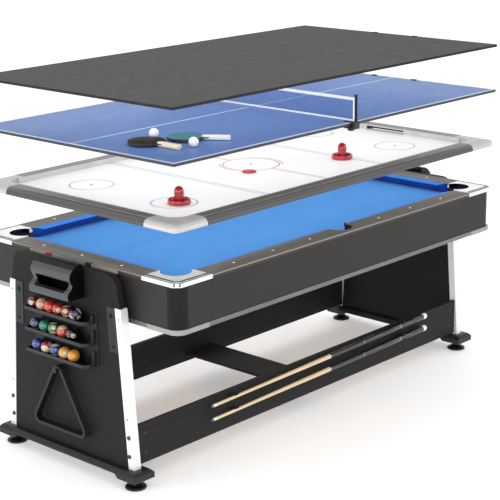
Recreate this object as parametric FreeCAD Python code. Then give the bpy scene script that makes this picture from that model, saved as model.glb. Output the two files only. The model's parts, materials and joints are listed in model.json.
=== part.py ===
import FreeCAD, Part
import os
from math import sin, cos, tan, pi, radians, degrees, sqrt, atan2

# Seven-foot four-in-one games table: a pool cabinet on two panel legs, with an
# air-hockey deck, a table-tennis top and a plain dining top lifted above it.
# Millimetres.  Origin on the floor under the middle of the table,
# +X along the length, +Y across to the back long side, +Z up.

V = FreeCAD.Vector
os.makedirs("parts", exist_ok=True)

# ----------------------------------------------------------------- dimensions
HALF_L = 1065.0          # cabinet half length
HALF_W = 590.0           # cabinet half width
RAIL_TOP = 880.0         # top of the pool rails above the floor
RAIL_T = 18.0            # laminate rail cap thickness
RAIL_W = 90.0            # rail cap width, outer edge to cushion
CUSHION_W = 35.0         # cushion back to nose
BED_TOP = 835.0          # playing surface of the pool bed
BED_T = 14.0
CLOTH_T = 1.0
APRON_BOT = 690.0
APRON_T = 16.0
APRON_SET = 3.0          # apron face behind the rail edge
TRIM_BOT = 671.0
POST_R = 57.0            # rounded corner post radius
SIGHT_PITCH = 234.0
SIGHT_IN = 45.0
CORNER_PKT = (943.0, 462.0)
CORNER_PKT_R = 62.0
SIDE_PKT_Y = 512.0
SIDE_PKT_R = 52.0
CUP_T = 3.0
CUP_BOT = 768.0
CAST_LEG = 195.0         # corner casting leg length
CAST_W = 97.0            # corner casting leg width

PANEL_X = 1110.0         # middle of the end panel thickness
PANEL_T = 30.0
HEAD_HALF = 317.0
HEAD_TOP = 872.0
HEAD_R = 60.0
LEG_X = 36.0             # leg extrusion section
LEG_Y = 34.0
LEG_Y_BOT = 370.7        # leg centre line at the bottom and the top
LEG_Y_TOP = 321.8
LEG_Z_BOT = 80.0
LEG_Z_TOP = 743.0
BEAM_W = 112.0
BEAM_HALF = 425.0
BEAM_BOT = 42.0
BEAM_MID = 59.0
BEAM_TOP = 80.0
FOOT_R = 44.0
FOOT_Y = 372.0
STR_Y = (352.0, 370.0)
STR_Z = (88.0, 256.0)
BRACE_HALF = 90.0
BRACE_Z = (118.0, 133.0)
BOLT_Z = (134.0, 214.0)

BALL_R = 25.4            # two-inch pool balls
CUE_L = 1500.0
CUE_Y = -395.0
CUE_Z = (239.0, 178.0)
CUE_TILT = 1.0            # degrees, butt end higher
CUE_X0 = -690.0

HK_TOP = 1110.0          # air-hockey rail top
HK_BOT = 1078.0
HK_RAIL = 75.0
HK_DECK = 1085.0
HK_DECK_T = 5.0
PLENUM_BOT = 1035.0
PLENUM_X = 925.0
PLENUM_Y = 450.0
GOAL_HALF = 115.0

TT_TOP = 1347.0          # table-tennis playing surface
TT_T = 12.0
NET_H = 105.0
DIN_TOP = 1559.0
DIN_T = 12.0

NODES = {}


def put(name, shape):
    """Register a solid, or a list of separate solids, under one node name."""
    sols = []
    for s in (shape if isinstance(shape, (list, tuple)) else [shape]):
        sols += s.Solids
    NODES[name] = sols


def box(x0, x1, y0, y1, z0, z1):
    return Part.makeBox(x1 - x0, y1 - y0, z1 - z0, V(x0, y0, z0))


def cyl(r, h, p, d=(0, 0, 1)):
    return Part.makeCylinder(r, h, V(*p), V(*d))


def cone(r1, r2, h, p, d=(0, 0, 1)):
    return Part.makeCone(r1, r2, h, V(*p), V(*d))


def ball(r, p):
    return Part.makeSphere(r, V(*p))


def prism(pts, d):
    """Closed polygon of 3-D points pushed along d."""
    w = Part.makePolygon([V(*p) for p in pts] + [V(*pts[0])])
    return Part.Face(w).extrude(V(*d))


def flip_x(s):
    return s.mirror(V(0, 0, 0), V(1, 0, 0))


def flip_y(s):
    return s.mirror(V(0, 0, 0), V(0, 1, 0))


def four(s):
    """A near-corner solid repeated at all four corners."""
    return [s, flip_x(s), flip_y(s), flip_x(flip_y(s))]


def fuse(*s):
    r = s[0]
    for t in s[1:]:
        r = r.fuse(t)
    return r.removeSplitter()


def cut(a, *bs):
    for b in bs:
        a = a.cut(b)
    return a


def lathe(prof, p=(0, 0, 0)):
    """(r, z) profile turned about a vertical axis through p."""
    pts = [V(p[0] + r, p[1], p[2] + z) for r, z in prof]
    w = Part.makePolygon(pts + [pts[0]])
    return Part.Face(w).revolve(V(*p), V(0, 0, 1), 360)


def fillet_z(s, pts, r):
    """Round the vertical edges that stand at the given (x, y) points."""
    es = []
    for e in s.Edges:
        if len(e.Vertexes) == 2:
            a, b = e.Vertexes[0].Point, e.Vertexes[1].Point
            if abs(a.x - b.x) < 1e-6 and abs(a.y - b.y) < 1e-6:
                if any(abs(a.x - p[0]) < 0.01 and abs(a.y - p[1]) < 0.01 for p in pts):
                    es.append(e)
    return s.makeFillet(r, es)


def leg_y(z):
    return LEG_Y_BOT + (LEG_Y_TOP - LEG_Y_BOT) * (z - LEG_Z_BOT) / (LEG_Z_TOP - LEG_Z_BOT)


# =============================================================== pool cabinet
AX = HALF_L - APRON_SET          # apron outer faces
AY = HALF_W - APRON_SET
CORNER_X = AX - POST_R
CORNER_Y = AY - POST_R

cab_bolt_yz = [(-150, 750), (-150, 810), (150, 750), (150, 810)]


apron_f = box(-CORNER_X, CORNER_X, -AY, -AY + APRON_T, APRON_BOT, RAIL_TOP - RAIL_T)
apron_l = box(-AX, -AX + APRON_T, -CORNER_Y, CORNER_Y, APRON_BOT, RAIL_TOP - RAIL_T)
apron_l = cut(apron_l, *[cyl(4.2, 40, (-1075, y, z), (1, 0, 0)) for y, z in cab_bolt_yz])
put("aprons", [apron_f, flip_y(apron_f), apron_l, flip_x(apron_l)])

post = cut(cyl(POST_R, RAIL_TOP - RAIL_T - APRON_BOT, (-CORNER_X, -CORNER_Y, APRON_BOT)),
           cyl(POST_R - APRON_T, 400, (-CORNER_X, -CORNER_Y, APRON_BOT - 50)))
post = post.common(box(-AX - 5, -CORNER_X, -AY - 5, -CORNER_Y, 600, 900))
put("corner_posts", four(post))

put("bottom_panel", box(-1045, 1045, -570, 570, 678, 690))
trim_f = box(-(HALF_L - 172), HALF_L - 172, -HALF_W, -570, TRIM_BOT, APRON_BOT)
trim_l = box(-HALF_L, -1045, -(HALF_W - 172), HALF_W - 172, TRIM_BOT, APRON_BOT)
put("bottom_trim_rails", [trim_f, flip_y(trim_f), trim_l, flip_x(trim_l)])

guard = box(-HALF_L - 2, -(HALF_L - 172), -HALF_W - 2, -(HALF_W - 172), TRIM_BOT - 1, APRON_BOT)
guard = cut(guard, box(-1045, 0, -570, 0, 600, 900))
guard = fillet_z(guard, [(-HALF_L - 2, -HALF_W - 2)], 48)
put("bottom_corner_guards", four(guard))

joists = [box(x - 9, x + 9, -(AY - APRON_T), AY - APRON_T, 700, BED_TOP - CLOTH_T - BED_T)
          for x in (-760, -420, 420, 760)]
joists += [box(-751, -429, -9 + s * 230, 9 + s * 230, 740, BED_TOP - CLOTH_T - BED_T) for s in (-1, 1)]
joists += [box(-411, 411, -9 + s * 230, 9 + s * 230, 740, BED_TOP - CLOTH_T - BED_T) for s in (-1, 1)]
joists += [box(429, 751, -9 + s * 230, 9 + s * 230, 740, BED_TOP - CLOTH_T - BED_T) for s in (-1, 1)]
put("bed_joists", joists)

cup_ro = CORNER_PKT_R + CUP_T + 1
side_ro = SIDE_PKT_R + CUP_T + 1
PK = [(sx * CORNER_PKT[0], sy * CORNER_PKT[1], cup_ro) for sx in (-1, 1) for sy in (-1, 1)]
PK += [(0, sy * SIDE_PKT_Y, side_ro) for sy in (-1, 1)]


def pocket_holes(z0, z1, extra):
    return [cyl(r + extra, z1 - z0, (x, y, z0)) for x, y, r in PK]


# the square board corners are rounded off inside the corner posts
notch = cut(box(-1080, -CORNER_X, -600, -CORNER_Y, 780, 900), cyl(POST_R - APRON_T - 0.2, 300, (-CORNER_X, -CORNER_Y, 700)))
notches = four(notch)
bed = box(-1045, 1045, -570, 570, BED_TOP - CLOTH_T - BED_T, BED_TOP - CLOTH_T)
put("pool_bed", cut(bed, *(pocket_holes(800, 850, 0.4) + notches)))
cloth = box(-1045, 1045, -570, 570, BED_TOP - CLOTH_T, BED_TOP)
put("bed_cloth", cut(cloth, *(pocket_holes(800, 850, 0.4) + notches)))

# rails: an 18 mm laminate cap on a block that stands on the bed inside the aprons
rail_end_x = HALF_L - CAST_LEG
rail_end_y = HALF_W - CAST_LEG
CAPB = RAIL_TOP - RAIL_T
rail_f = fuse(box(-rail_end_x, rail_end_x, -HALF_W, -(HALF_W - RAIL_W), CAPB, RAIL_TOP),
              box(-rail_end_x, rail_end_x, -570, -(HALF_W - RAIL_W), BED_TOP, CAPB))
rail_f = cut(rail_f, cyl(side_ro + 0.4, 200, (0, -SIDE_PKT_Y, 750)))
rail_l = fuse(box(-HALF_L, -(HALF_L - RAIL_W), -rail_end_y, rail_end_y, CAPB, RAIL_TOP),
              box(-1045, -(HALF_L - RAIL_W), -rail_end_y, rail_end_y, BED_TOP, CAPB))
sights_f = [(i * SIGHT_PITCH, -(HALF_W - SIGHT_IN)) for i in (-3, -2, -1, 1, 2, 3)]
sights_l = [(-(HALF_L - SIGHT_IN), i * (SIGHT_PITCH + 2)) for i in (-1, 0, 1)]
for x, y in sights_f:
    rail_f = rail_f.cut(cyl(6, 2, (x, y, RAIL_TOP - 1.5)))
for x, y in sights_l:
    rail_l = rail_l.cut(cyl(6, 2, (x, y, RAIL_TOP - 1.5)))
put("pool_rails", [rail_f, flip_y(rail_f), rail_l, flip_x(rail_l)])
s1 = [cyl(6, 2.1, (x, y, RAIL_TOP - 1.5)) for x, y in sights_f]
s2 = [cyl(6, 2.1, (x, y, RAIL_TOP - 1.5)) for x, y in sights_l]
put("rail_sights", s1 + [flip_y(s) for s in s1] + s2 + [flip_x(s) for s in s2])

# cushions: rubber nose profile, ends cut back at the pocket mouths
by, ny = HALF_W - RAIL_W, HALF_W - RAIL_W - CUSHION_W
prof = [(-by, BED_TOP + 4), (-by, RAIL_TOP - 1), (-ny - 3, RAIL_TOP - 5), (-ny, RAIL_TOP - 9), (-ny - 20, RAIL_TOP - 31)]
xa, xb = 72.0, 868.0
cs = prism([(xa, y, z) for y, z in prof], (xb - xa, 0, 0))
cs = cut(cs, prism([(xb + 1, -by + 1, 800), (xb - 1, -by + 1, 800), (xb - 36, -ny + 1, 800), (xb + 1, -ny + 1, 800)], (0, 0, 100)),
         prism([(xa - 1, -by - 1, 800), (xa + 1, -by - 1, 800), (xa + 14, -ny + 1, 800), (xa - 1, -ny + 1, 800)], (0, 0, 100)))
bx, nx = HALF_L - RAIL_W, HALF_L - RAIL_W - CUSHION_W
ya = 392.0
prof_l = [(-bx, BED_TOP + 4), (-bx, RAIL_TOP - 1), (-nx - 3, RAIL_TOP - 5), (-nx, RAIL_TOP - 9), (-nx - 20, RAIL_TOP - 31)]
ce = prism([(x, -ya, z) for x, z in prof_l], (0, 2 * ya, 0))
for s in (-1, 1):
    ce = cut(ce, prism([(-bx + 1, s * (ya + 1), 800), (-bx + 1, s * (ya - 1), 800), (-nx + 1, s * (ya - 36), 800), (-nx + 1, s * (ya + 1), 800)], (0, 0, 100)))
put("cushions", [cs, flip_x(cs), flip_y(cs), flip_x(flip_y(cs)), ce, flip_x(ce)])

# cast corner pieces: L-shaped plate with the pocket mouth, a groove and an outer lip
def casting():
    ox, oy = -HALF_L - 1, -HALF_W - 1
    g = 26.0
    def ell(o, w, lx, ly, z0, z1, c):
        """L outline set in by o from the outer faces, with a chamfered corner."""
        x0, y0 = ox + o, oy + o
        xw, yw = ox + w, oy + w
        xe, ye = ox + lx, oy + ly
        c = c - o * 0.586
        pts = [(x0 + c, y0), (xe, y0), (xe, yw), (xw, yw), (xw, ye), (x0, ye), (x0, y0 + c)]
        return prism([(x, y, z0) for x, y in pts], (0, 0, z1 - z0))
    L = CAST_LEG + 1
    # a wide base, a shallow groove just inside the lip, and the raised top plate
    base = ell(0, CAST_W, L, L, CAPB, RAIL_TOP - 6, g)
    lip = cut(ell(0, CAST_W, L, L, RAIL_TOP - 6, RAIL_TOP - 1, g), ell(7, 400, 400, 400, RAIL_TOP - 7, RAIL_TOP + 1, g))
    plate = ell(11, CAST_W, L - 6, L - 6, RAIL_TOP - 6, RAIL_TOP + 2, g)
    c = fuse(base, lip, plate)
    return cut(c, cyl(CORNER_PKT_R, 60, (-CORNER_PKT[0], -CORNER_PKT[1], 850)))


put("corner_castings", four(casting()))

# solid corner blocks that carry the castings, around the pocket cup
blk = cut(box(-1045, -rail_end_x, -570, -rail_end_y, BED_TOP, CAPB),
          box(-(HALF_L - CAST_W), 0, -(HALF_W - CAST_W), 0, 800, 900), notch,
          cyl(cup_ro + 0.4, 200, (-CORNER_PKT[0], -CORNER_PKT[1], 750)))
for b in four(blk):
    NODES["pool_rails"] += b.Solids

# pocket cups: a moulded bucket under the bed with a back shield up to the casting
def cup(cx, cy, r_in, shield_cut, top):
    ro = r_in + CUP_T + 1
    c = cut(cyl(ro, top - CUP_BOT, (cx, cy, CUP_BOT)), cyl(r_in + 1, top - CUP_BOT, (cx, cy, CUP_BOT + 3)))
    return cut(c, shield_cut)


cc = cup(-CORNER_PKT[0], -CORNER_PKT[1], CORNER_PKT_R, box(-985, 0, -504, 0, BED_TOP - 2, 900), CAPB)
sc = cup(0, -SIDE_PKT_Y, SIDE_PKT_R, box(-100, 100, -500, 0, BED_TOP - 2, 900), RAIL_TOP - 1)
put("pocket_cups", four(cc) + [sc, flip_y(sc)])

# small black screws through the aprons and the end panels
scr = [cyl(3, 1.0, (x, -AY - 1.0, z), (0, 1, 0)) for x in (-860, 860) for z in (848, 703)]
scr += [cyl(3, 1.0, (x, -AY - 1.0, 703), (0, 1, 0)) for x in (-430, 0, 430)]
scr = scr + [flip_y(s) for s in scr]
sce = [cyl(3, 1.0, (-AX - 1.0, y, z), (1, 0, 0)) for y in (-420, 420) for z in (848, 703)]
scr += sce + [flip_x(s) for s in sce]

# ================================================================== leg frames
pz0, pz1 = LEG_Z_BOT, LEG_Z_TOP + 1.0
X0, X1 = -PANEL_X - PANEL_T / 2, -PANEL_X + PANEL_T / 2
h = LEG_Y / 2 * 1.0027
yb, yt = leg_y(pz0) - h, leg_y(pz1) - h
step = leg_y(pz1) + h - 9.0
a45 = cos(radians(45))
edges = []
P = lambda y, z: V(X0, y, z)
edges.append(Part.LineSegment(P(-yb, pz0), P(yb, pz0)).toShape())
edges.append(Part.LineSegment(P(yb, pz0), P(yt, pz1)).toShape())
edges.append(Part.LineSegment(P(yt, pz1), P(step, pz1)).toShape())
edges.append(Part.LineSegment(P(step, pz1), P(HEAD_HALF, HEAD_TOP - HEAD_R)).toShape())
edges.append(Part.Arc(P(HEAD_HALF, HEAD_TOP - HEAD_R),
                      P(HEAD_HALF - HEAD_R + HEAD_R * a45, HEAD_TOP - HEAD_R + HEAD_R * a45),
                      P(HEAD_HALF - HEAD_R, HEAD_TOP)).toShape())
edges.append(Part.LineSegment(P(HEAD_HALF - HEAD_R, HEAD_TOP), P(-HEAD_HALF + HEAD_R, HEAD_TOP)).toShape())
edges.append(Part.Arc(P(-HEAD_HALF + HEAD_R, HEAD_TOP),
                      P(-HEAD_HALF + HEAD_R - HEAD_R * a45, HEAD_TOP - HEAD_R + HEAD_R * a45),
                      P(-HEAD_HALF, HEAD_TOP - HEAD_R)).toShape())
edges.append(Part.LineSegment(P(-HEAD_HALF, HEAD_TOP - HEAD_R), P(-step, pz1)).toShape())
edges.append(Part.LineSegment(P(-step, pz1), P(-yt, pz1)).toShape())
edges.append(Part.LineSegment(P(-yt, pz1), P(-yb, pz0)).toShape())
panel = Part.Face(Part.Wire(edges)).extrude(V(PANEL_T, 0, 0))
panel_l = cut(panel, *[cyl(4.2, 20, (-X, y, z), (-1, 0, 0)) for y, z in cab_bolt_yz for X in (PANEL_X - PANEL_T / 2 - 4,)])
put("end_panel_left", panel_l)
put("end_panel_right", flip_x(panel_l))

# leg extrusions: hollow aluminium, standing on the foot beam
def leg(sy):
    yb, yt = leg_y(LEG_Z_BOT), leg_y(LEG_Z_TOP)
    def bar(hh, x0, w, z0, z1):
        return prism([(x0, sy * (leg_y(z0) - hh), z0), (x0, sy * (leg_y(z0) + hh), z0),
                      (x0, sy * (leg_y(z1) + hh), z1), (x0, sy * (leg_y(z1) - hh), z1)], (w, 0, 0))
    hh = LEG_Y / 2
    o = bar(hh, -PANEL_X - LEG_X / 2, LEG_X, LEG_Z_BOT, LEG_Z_TOP)
    i = bar(hh - 2.5, -PANEL_X - LEG_X / 2 + 2.5, LEG_X - 5, LEG_Z_BOT - 20, LEG_Z_TOP + 20)
    l = cut(o, i)
    for z in BOLT_Z:
        l = l.cut(cyl(5.2, 80, (-PANEL_X - 40, sy * 361.0, z), (1, 0, 0)))
    return l


legs = [leg(-1), leg(1)]
put("leg_extrusions", legs + [flip_x(s) for s in legs])
# bolts through the leg extrusions into the stretcher ends, with barrel nuts
bolts = []
for sy in (-1, 1):
    for z in BOLT_Z:
        hx = -PANEL_X - LEG_X / 2
        b = fuse(cyl(9, 3.5, (hx - 3.5, sy * 361.0, z), (1, 0, 0)), cyl(4, 92, (hx - 1, sy * 361.0, z), (1, 0, 0)))
        bolts.append(b)
bolts += [flip_x(b) for b in bolts]
BX = PANEL_X - PANEL_T / 2
for s in (-1, 1):
    for y, z in cab_bolt_yz:
        hd = cyl(8, 6, (s * (AX - APRON_T - 6), y, z), (s, 0, 0))
        sh = cyl(4, 6 + APRON_T + (BX - AX) + 14, (s * (AX - APRON_T - 6), y, z), (s, 0, 0))
        bolts.append(fuse(hd, sh))

nuts = []
for sx in (-1, 1):
    for sy in (-1, 1):
        for z in BOLT_Z:
            n = cyl(6, STR_Y[1] - STR_Y[0] + 1.0, (sx * 1048.0, sy * 361.0 - sy * 9, z), (0, sy, 0))
            nuts.append(cut(n, cyl(4, 40, (sx * 1030, sy * 361.0, z), (sx, 0, 0))))
put("frame_bolts", bolts + nuts)

panel_scr = []
for sy in (-1, 1):
    for z in (290.0, 700.0):
        panel_scr.append(cyl(3.2, 1.3, (-PANEL_X - LEG_X / 2 - 1.3, sy * leg_y(z), z), (1, 0, 0)))
scr += panel_scr + [flip_x(s) for s in panel_scr]
put("small_screws", scr)

# foot beams with deeper blocks at both ends and chamfered upper edges
def beam():
    x0, x1 = -PANEL_X - BEAM_W / 2, -PANEL_X + BEAM_W / 2
    c = 16.0
    sec = [(x0, BEAM_BOT), (x1, BEAM_BOT), (x1, BEAM_TOP - c), (x1 - c, BEAM_TOP), (x0 + c, BEAM_TOP), (x0, BEAM_TOP - c)]
    b = prism([(x, -BEAM_HALF, z) for x, z in sec], (0, 2 * BEAM_HALF, 0))
    mid = prism([(x0 - 1, -325, BEAM_BOT - 1), (x0 - 1, 325, BEAM_BOT - 1), (x0 - 1, 308, BEAM_MID), (x0 - 1, -308, BEAM_MID)], (BEAM_W + 2, 0, 0))
    b = b.cut(mid)
    for s in (-1, 1):
        y = s * BEAM_HALF
        b = b.cut(prism([(x0 - 1, y + s, BEAM_TOP - 12), (x0 - 1, y + s, BEAM_TOP + 1), (x0 - 1, y - s * 13, BEAM_TOP + 1)], (BEAM_W + 2, 0, 0)))
        b = b.cut(cyl(6.08, 28, (-PANEL_X, s * FOOT_Y, BEAM_BOT - 1)))
    return b


bm = beam()
put("foot_beams", [bm, flip_x(bm)])

# levelling feet: flared pad, neck and a threaded stem that turns in the beam
foot_prof = [(0, 0), (FOOT_R - 1.5, 0), (FOOT_R, 2), (FOOT_R, 6), (FOOT_R - 3, 9), (27, 15), (19, 22), (16, 29), (16, BEAM_BOT - 0.4),
             (6, BEAM_BOT - 0.4), (6, 66), (0, 66)]
for nm, sx, sy in (("leveller_front_left", -1, -1), ("leveller_back_left", -1, 1),
                   ("leveller_front_right", 1, -1), ("leveller_back_right", 1, 1)):
    put(nm, lathe(foot_prof, (sx * PANEL_X, sy * FOOT_Y, 0)))

# blocks that stand the cabinet off the end panels
sp = box(-BX, -AX, -200, 200, 715, 845)
sp = cut(sp, *[cyl(4.2, 80, (-1110, y, z), (1, 0, 0)) for y, z in cab_bolt_yz])
put("cabinet_spacer_blocks", [sp, flip_x(sp)])

# stretchers between the leg frames and the flat brace between them
SX = PANEL_X - LEG_X / 2
def stretcher(s):
    b = box(-SX, SX, *(sorted((s * STR_Y[0], s * STR_Y[1]))), STR_Z[0], STR_Z[1])
    for sx in (-1, 1):
        for z in BOLT_Z:
            b = b.cut(cyl(4.2, 56, (sx * (SX + 1), s * 361.0, z), (-sx, 0, 0)))
            b = b.cut(cyl(6.05, 60, (sx * 1048.0, s * 361.0 - s * 30, z), (0, s, 0)))
    return b


put("stretchers", [stretcher(-1), stretcher(1)])
put("cross_brace", box(-BRACE_HALF, BRACE_HALF, -STR_Y[0], STR_Y[0], *BRACE_Z))

# long narrow fixing plates beside the legs, each with a round hole and a slot
def plate(sy, yc_top, yc_bot):
    z0, z1 = 558.0, 742.0
    w = 24.0
    X = -PANEL_X - PANEL_T / 2
    p = prism([(X - 3, sy * (yc_bot - w), z0), (X - 3, sy * (yc_bot + w), z0), (X - 3, sy * (yc_top + w), z1), (X - 3, sy * (yc_top - w), z1)], (3, 0, 0))
    yc = yc_top + (yc_bot - yc_top) * (z1 - 708) / (z1 - z0)
    p = p.cut(cyl(10, 10, (X - 8, sy * yc, 708), (1, 0, 0)))
    p = p.cut(box(X - 8, X + 1, *sorted((sy * (yc_bot - 8), sy * (yc_bot + 8))), 578, 584))
    return p


pl = [plate(-1, leg_y(742) - 17.5 - 24, leg_y(558) - 17.5 - 24 - 4), plate(1, leg_y(742) - 17.5 - 24, leg_y(558) - 17.5 - 24 - 4)]
put("fixing_plates", pl + [flip_x(s) for s in pl])

# score strip on the left end, just under the rail edge, with two sliding markers
SCX0, SCX1 = -HALF_L - 9, -HALF_L
strip = box(SCX0, SCX1, -262, 262, 862, 874)
strip = cut(strip, box(SCX0 - 1, SCX0 + 3, -252, 252, 865, 871))
put("score_strip", strip)


def marker(y):
    m = box(SCX0 - 5, SCX0 - 0.3, y - 15, y + 15, 861, 878)
    m = fuse(m, box(SCX0 - 0.3, SCX0 + 2.6, y - 15, y + 15, 865.4, 870.6), box(SCX0 - 5, SCX1 - 1, y - 15, y + 15, 874.4, 878))
    return m


put("score_marker_red", marker(145.0))
put("score_marker_black", marker(-98.0))

# accessory box on the head of each end panel: wave-fronted moulding with a slot
def abox():
    X = -PANEL_X - PANEL_T / 2
    W0, W1 = -128.0, 111.0
    zb, zt = 752.0, 893.0
    D = 74.0
    prof = [(0, zb), (-D - 10, zb), (-D - 14, zb + 10), (-D - 12, zb + 30), (-D + 8, zb + 48), (-D + 10, zb + 62), (-D + 2, zb + 78), (-D - 2, zb + 92),
            (-D + 4, zb + 110), (-D + 20, zb + 126), (-D + 42, zt - 2), (-14, zt), (0, zt - 12)]
    # the front is one smooth wave through these points
    fr = [prof[0]] + prof[1:-1] + [prof[-1]]
    sm = [fr[0], fr[1]]
    for i in range(1, len(fr) - 2):
        p0, p1, p2, p3 = fr[i - 1] if i > 1 else fr[i], fr[i], fr[i + 1], fr[i + 2] if i < len(fr) - 3 else fr[i + 1]
        for k in range(1, 5):
            t = k / 4.0
            sm.append(tuple(0.5 * ((2 * p1[j]) + (-p0[j] + p2[j]) * t + (2 * p0[j] - 5 * p1[j] + 4 * p2[j] - p3[j]) * t * t
                                   + (-p0[j] + 3 * p1[j] - 3 * p2[j] + p3[j]) * t ** 3) for j in (0, 1)))
    sm.append(fr[-1])
    o = prism([(X + x, W0, z) for x, z in sm], (0, W1 - W0, 0))
    # hollow compartment behind the front face
    cavity = box(X - 58, X - 3, W0 + 3.5, W1 - 3.5, zb + 4, zb + 108)
    slot = prism([(X - D - 30, -98, zb + 30), (X - D - 30, 80, zb + 30), (X - D - 30, 94, zb + 76), (X - D - 30, -112, zb + 76)], (D + 20, 0, 0))
    slot = slot.makeFillet(6, [e for e in slot.Edges if abs(e.Vertexes[0].Point.x - e.Vertexes[1].Point.x) > 50])
    b = cut(o, cavity, slot)
    return b


ab = abox()
put("accessory_boxes", [ab, flip_x(ab)])

# ball rack on the left panel: back plate, three shelves with lips and closed ends
HOOK_Y, HOOK_Z = 18.0, 420.0


def rack():
    X = -PANEL_X - PANEL_T / 2
    y0, y1 = -196.0, 184.0
    z0, z1 = 474.0, 700.0
    back = box(X - 6, X, y0, y1, z0, z1)
    out = [back]
    for zs in (656.0, 566.0, 476.0):
        D = 63.0
        y2 = y0 + 10
        xs = X - D
        R = 34.0
        w = [Part.LineSegment(V(X - 5, y1 - 2, zs), V(xs, y1 - 2, zs)).toShape(),
             Part.LineSegment(V(xs, y1 - 2, zs), V(xs, y2 + R, zs)).toShape(),
             Part.Arc(V(xs, y2 + R, zs), V(xs + R * (1 - a45), y2 + R * (1 - a45), zs), V(xs + R, y2, zs)).toShape(),
             Part.LineSegment(V(xs + R, y2, zs), V(X - 5, y2, zs)).toShape(),
             Part.LineSegment(V(X - 5, y2, zs), V(X - 5, y1 - 2, zs)).toShape()]
        f = Part.Face(Part.Wire(w))
        tray = f.extrude(V(0, 0, 14))
        wi = [Part.LineSegment(V(X - 6, y1 - 5, zs + 3), V(xs + 3, y1 - 5, zs + 3)).toShape(),
              Part.LineSegment(V(xs + 3, y1 - 5, zs + 3), V(xs + 3, y2 + R, zs + 3)).toShape(),
              Part.Arc(V(xs + 3, y2 + R, zs + 3), V(xs + R - (R - 3) * a45, y2 + R - (R - 3) * a45, zs + 3), V(xs + R, y2 + 3, zs + 3)).toShape(),
              Part.LineSegment(V(xs + R, y2 + 3, zs + 3), V(X - 6, y2 + 3, zs + 3)).toShape(),
              Part.LineSegment(V(X - 6, y2 + 3, zs + 3), V(X - 6, y1 - 5, zs + 3)).toShape()]
        tray = tray.cut(Part.Face(Part.Wire(wi)).extrude(V(0, 0, 20)))
        out.append(tray)
        # solid cheek at the right-hand end of each shelf
        out.append(prism([(X - 5, y0 + 8, zs), (X - 5, y0 + 8, zs + 66 if zs < 640 else zs + 40), (X - 20, y0 + 8, zs + 62 if zs < 640 else zs + 36), (X - 30, y0 + 8, zs)], (0, 5, 0)))
    # moulded hook under the bottom shelf for the triangle
    out.append(box(X - 7, X, HOOK_Y - 12, HOOK_Y + 12, HOOK_Z - 14, z0 + 2))
    out.append(cyl(5, 52, (X - 52, HOOK_Y, HOOK_Z), (1, 0, 0)))
    out.append(cyl(9, 4, (X - 53, HOOK_Y, HOOK_Z), (1, 0, 0)))
    return fuse(*out)


put("ball_rack", rack())

RX = -PANEL_X - PANEL_T / 2 - 6 - 27.0
def row(n, zs, ys):
    return [ball(BALL_R, (RX, y, zs + 3 + BALL_R + 0.3)) for y in ys]


D2 = 2 * BALL_R + 0.3
put("pool_balls_top_row", row(6, 656.0, [152 - i * D2 for i in range(6)]))
put("pool_balls_middle_row", row(5, 566.0, [143 - i * (D2 + 4) for i in range(5)]))
put("pool_balls_bottom_row", row(5, 476.0, [138 - i * (D2 + 4) for i in range(5)]))

# triangle hanging on the hook
def triangle():
    X = -PANEL_X - PANEL_T / 2
    side_in, wall, dep = 318.0, 13.0, 32.0
    x0 = X - 10 - dep
    yc = HOOK_Y
    apex_in = HOOK_Z + 5.4           # inner apex rests over the hook pin
    def tri(r, s):
        """Equilateral outline with rounded corners, centroid at the origin, apex up."""
        R = s / sqrt(3.0)
        cs = [(0.0, R), (-s / 2, -R / 2), (s / 2, -R / 2)]
        inner = R - 2 * r
        es = []
        ctr = [(c[0] * inner / R, c[1] * inner / R) for c in cs]
        ang = [90, 210, 330]
        pts = []
        for (cx, cy), a in zip(ctr, ang):
            p = [(cx + r * cos(radians(t)), cy + r * sin(radians(t))) for t in (a - 60, a, a + 60)]
            pts.append(p)
        for k in range(3):
            p, q = pts[k], pts[(k + 1) % 3]
            es.append(("a", p[0], p[1], p[2]))
            es.append(("l", p[2], q[0]))
        return es
    Rin = side_in / sqrt(3.0)
    rin = 19.0
    apex_drop = Rin - 2 * rin + rin      # centroid to the rounded inner apex
    zc = apex_in - apex_drop
    def wire(r, s):
        w = []
        for e in tri(r, s):
            q = [V(x0, yc + p[0], zc + p[1]) for p in e[1:]]
            w.append((Part.Arc(*q) if e[0] == "a" else Part.LineSegment(*q)).toShape())
        return Part.Wire(w)
    o = Part.Face(wire(rin + wall, side_in + 2 * wall * sqrt(3.0))).extrude(V(dep, 0, 0))
    i = Part.Face(wire(rin, side_in)).extrude(V(dep, 0, 0))
    return o.cut(i)


put("ball_triangle", triangle())

# cue clips on the front stretcher and the two cues lying in them
def tilt(s, z):
    s.rotate(V(60, CUE_Y, z), V(0, -1, 0), CUE_TILT)
    return s


def cue(z):
    st = [(0, 5.2), (8, 6.2), (14, 6.4), (20, 6.5), (300, 7.2), (700, 10.2), (785, 10.6), (820, 11.0), (1200, 13.6), (1480, 14.6), (1492, 14.4), (1500, 12.0)]
    pts = [V(CUE_X0 + a, CUE_Y, z) for a in (0,)] + [V(CUE_X0 + a, CUE_Y, z + r) for a, r in st] + [V(CUE_X0 + CUE_L, CUE_Y, z)]
    w = Part.makePolygon(pts + [pts[0]])
    return tilt(Part.Face(w).revolve(V(CUE_X0, CUE_Y, z), V(1, 0, 0), 360), z)


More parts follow.
